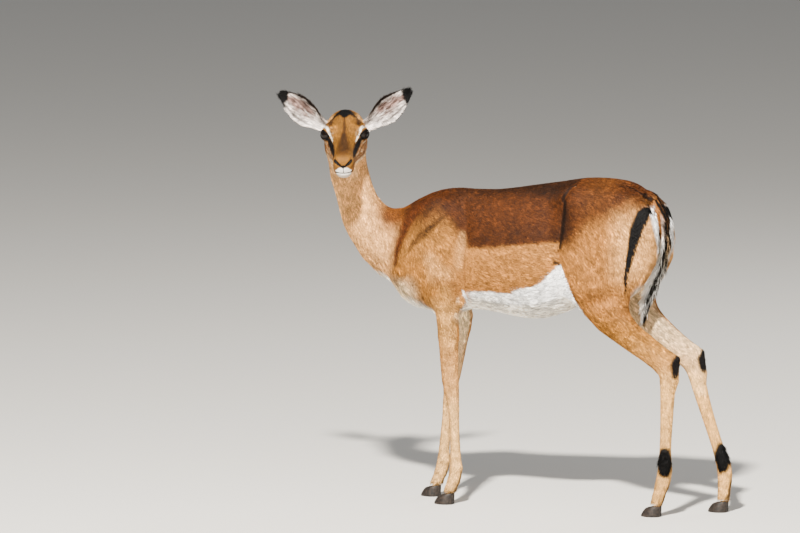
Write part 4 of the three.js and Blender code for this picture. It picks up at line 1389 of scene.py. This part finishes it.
def eyeball(name, side):
    """A smooth eyeball about its own axis, with a long level pupil."""
    rows, columns = EYE_ROWS, EYE_COLUMNS
    axis = EYE_AXIS * (1, side, 1)
    forward = unit(np.cross(axis, (0, 0, 1)))
    up = unit(np.cross(forward, axis))
    points = [axis * EYE_RADIUS]
    for i in range(1, rows):
        polar = math.pi * i / rows
        ring = 2 * math.pi * np.arange(columns) / columns
        points.extend(
            EYE_RADIUS * (
                axis * math.cos(polar) + math.sin(polar)
                * (np.cos(ring)[:, None] * forward + np.sin(ring)[:, None] * up)
            )
        )
    points.append(-axis * EYE_RADIUS)
    points = np.array(points)
    faces = []
    for j in range(columns):
        k = (j + 1) % columns
        faces.append((0, 1 + j, 1 + k))
        last = 1 + (rows - 2) * columns
        faces.append((len(points) - 1, last + k, last + j))
        for i in range(rows - 2):
            a, b = 1 + i * columns + j, 1 + i * columns + k
            faces.append((a, a + columns, b + columns))
            faces.append((a, b + columns, b))
    d = unit(points)
    angle = np.degrees(np.arccos(np.clip(d @ axis, -1, 1)))
    level, tall = d @ forward, d @ up
    colour = np.tile(EYE_BLACK, (len(points), 1))
    iris = fall(angle, 38, 44)
    colour = colour * (1 - iris[:, None]) + EYE_BROWN * iris[:, None]
    pupil = fall(np.hypot(level / 0.34, tall / 0.2), 0.85, 1.1)
    pupil = np.where(angle < 60, pupil, 0)
    colour = colour * (1 - pupil[:, None]) + PUPIL * pupil[:, None]
    piece = make_mesh(name, to_row(placed(HEAD, points + EYE_AT * (1, side, 1))), np.array(faces))
    add_colour(piece.data, "iris", colour)
    piece.data.materials.append(eye_look)
    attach(piece, "root")
    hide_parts(name.replace("eyeball", "eye"))


eyeball("eyeball_left", 1)
eyeball("eyeball_right", -1)

# Lids: a band that starts on the eyeball and sinks into the skin. Each row is in degrees
# past the edge of the opening, and millimetres off the eyeball.
LID_PROFILE = [(-4, -0.5), (-2.5, 0.5), (-0.5, 1.1), (3, 1.7), (8, 2.0), (13, 1.6), (18, 0.2)]
LID_STEPS = 96
LASHES = 34
lid_look, tree, shader = new_material("lid_look", 0.7, 0.1)
speckled(tree, shader, "coat", 500.0, 0.8, 1.2, 0.4, 700.0)


def lid(name, side):
    """The rim of one eye, and its upper lashes."""
    axis, across, tall = eye_frame(side)
    steps = LID_STEPS
    turned = 2 * math.pi * np.arange(steps) / steps
    edge = eye_edge(turned)
    heavy = 0.5 * np.clip(np.sin(turned), 0, 1)

    def ways(polar, turned):
        """Directions at angles from the eye's axis and round it."""
        round_axis = np.cos(turned)[:, None] * across + np.sin(turned)[:, None] * tall
        return axis * np.cos(polar) + np.sin(polar) * round_axis

    rows = []
    for beyond, rise in LID_PROFILE:
        polar = np.radians(edge + beyond)[:, None]
        out = EYE_RADIUS + rise + heavy * min(max(rise, 0), 1)
        rows.append(EYE_AT * (1, side, 1) + ways(polar, turned) * out[:, None])
    points = np.vstack(rows)
    k = np.arange(steps)
    ring = np.stack([k, (k + 1) % steps, (k + 1) % steps + steps, k + steps], axis=1)
    quads = np.vstack([ring + i * steps for i in range(len(rows) - 1)])
    if side < 0:
        quads = quads[:, ::-1]
    piece = make_mesh(name, to_row(placed(HEAD, points)), quads)
    shade = np.repeat([beyond for beyond, _ in LID_PROFILE], steps)
    add_colour(piece.data, "coat", BLACK + (DARK - BLACK) * ramp(shade, 4, 14)[:, None])
    piece.data.materials.append(lid_look)
    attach(piece, "root")
    # Lashes along the upper lid.
    turned = np.radians(np.linspace(12, 168, LASHES))
    polar = np.radians(eye_edge(turned) + 1.5)[:, None]
    at = placed(HEAD, EYE_AT * (1, side, 1) + ways(polar, turned) * (EYE_RADIUS + 1.6))
    outward = unit(
        np.cos(turned)[:, None] * across * 0.5 + tall * 0.15 + axis * 0.9
    ) @ HEAD[:3, :3].T
    normal = unit(np.cross(np.cross(outward, tall @ HEAD[:3, :3].T), outward))
    r = {"at": at, "normal": normal, "part": np.full(LASHES, IS["head"])}
    r["uv"] = rng.random((LASHES, 2)) * 0.01
    tufts(name.replace("lid", "lashes"), r, 8, 0.7, 0.05, BLACK, way=outward, tip_light=1.0)


lid("lid_left", 1)
lid("lid_right", -1)

# ---- Hooves ----------------------------------------------------------------------------------

RIDGES_PER_M = 2200.0  # growth ridges round the horn, in radians to a metre of height
FLAT_UNDER = 1.2  # the sole is laid flat on the floor below this height

hoof_look, tree, shader = new_material("hoof_look", 0.55, 0.3)
position = node(tree, "ShaderNodeNewGeometry")
apart = node(tree, "ShaderNodeSeparateXYZ")
tree.links.new(position.outputs["Position"], apart.inputs["Vector"])
wave = node(tree, "ShaderNodeMath", operation="MULTIPLY")
tree.links.new(apart.outputs["Z"], wave.inputs[0])
wave.inputs[1].default_value = RIDGES_PER_M
bands = node(tree, "ShaderNodeMath", operation="SINE")
tree.links.new(wave.outputs[0], bands.inputs[0])
horn_colours = ((0.35, rgb(16, 13, 11)), (0.75, rgb(52, 42, 35)))
mottled(tree, shader, 160.0, 4.0, horn_colours, position.outputs["Position"])
ridges = node(tree, "ShaderNodeBump", Strength=0.18, Distance=0.0004)
tree.links.new(bands.outputs[0], ridges.inputs["Height"])
tree.links.new(ridges.outputs["Normal"], shader.inputs["Normal"])

for leg in LEG_LINES:
    for claw in ("inner", "outer"):
        cad_name = f"{leg}_hoof_{claw}"
        points, tris = node_arrays(cad_name)
        rough = make_mesh("rough", to_row(points), tris)
        soft = rough.modifiers.new("soft", "SUBSURF")
        soft.subdivision_type = "CATMULL_CLARK"
        soft.levels = soft.render_levels = 2
        mesh = evaluated(rough)
        made, faces = read_mesh(mesh)
        bpy.data.meshes.remove(mesh)
        low, high = made.min(0), made.max(0)
        box_low, box_high = points.min(0), points.max(0)
        made = (made - low) / (high - low) * (box_high - box_low) + box_low
        made[:, 2] = np.where(made[:, 2] < FLAT_UNDER, 0, made[:, 2])
        piece = make_mesh(f"horn_{leg}_{claw}", to_row(made), faces)
        piece.data.materials.append(hoof_look)
        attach(piece, "root")
        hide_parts(cad_name)

# ---- Floor, light and camera -----------------------------------------------------------------

bpy.ops.mesh.primitive_plane_add(size=160)
floor = bpy.context.object
floor.name = "floor"
floor_look, tree, shader = new_material("floor_look", 0.95, 0.1)
mottled(tree, shader, 6.0, 3.0, ((0.0, (0.60, 0.575, 0.53)), (1.0, (0.66, 0.635, 0.59))))
floor.data.materials.append(floor_look)

world = bpy.data.worlds.new("studio")
bpy.context.scene.world = world
world.use_nodes = True
world.node_tree.nodes["Background"].inputs["Color"].default_value = (0.93, 0.96, 1.0, 1)
world.node_tree.nodes["Background"].inputs["Strength"].default_value = 0.3


def aimed(thing, place, target):
    """Puts a lamp or the camera at a place, looking at the target."""
    made = bpy.data.objects.new(thing.name, thing)
    bpy.context.scene.collection.objects.link(made)
    made.location = place
    away = made.location - type(made.location)(target)
    made.rotation_euler = away.to_track_quat("Z", "Y").to_euler()
    return made


def lamp(name, place, target, power, size, colour):
    data = bpy.data.lights.new(name, "AREA")
    data.energy = power
    data.size = size
    data.color = colour
    made = aimed(data, place, target)


# The camera stands at her left, a little behind square; the key light is high on that side.
lamp("key", (-1.2, 5.6, 5.6), (0.0, 0.0, 0.6), 3000, 0.4, (1.0, 0.96, 0.89))
lamp("fill", (-6.0, 4.0, 2.6), (0.0, 0.0, 0.5), 120, 4.0, (0.95, 0.97, 1.0))
lamp("rim", (-2.0, -5.0, 4.0), (0.0, 0.0, 0.6), 160, 2.5, (1.0, 1.0, 1.0))

LOOK = unit(np.array([0.3965, -0.912, -0.1045]))
TARGET = np.array([0.2608, 0.0336, 0.6133])
AWAY = 20.0
camera_data = bpy.data.cameras.new("camera")
camera_data.lens = 349.5
camera_data.sensor_width = 36.0
camera_data.clip_end = 200.0
bpy.context.scene.camera = aimed(camera_data, TARGET - LOOK * AWAY, TARGET)
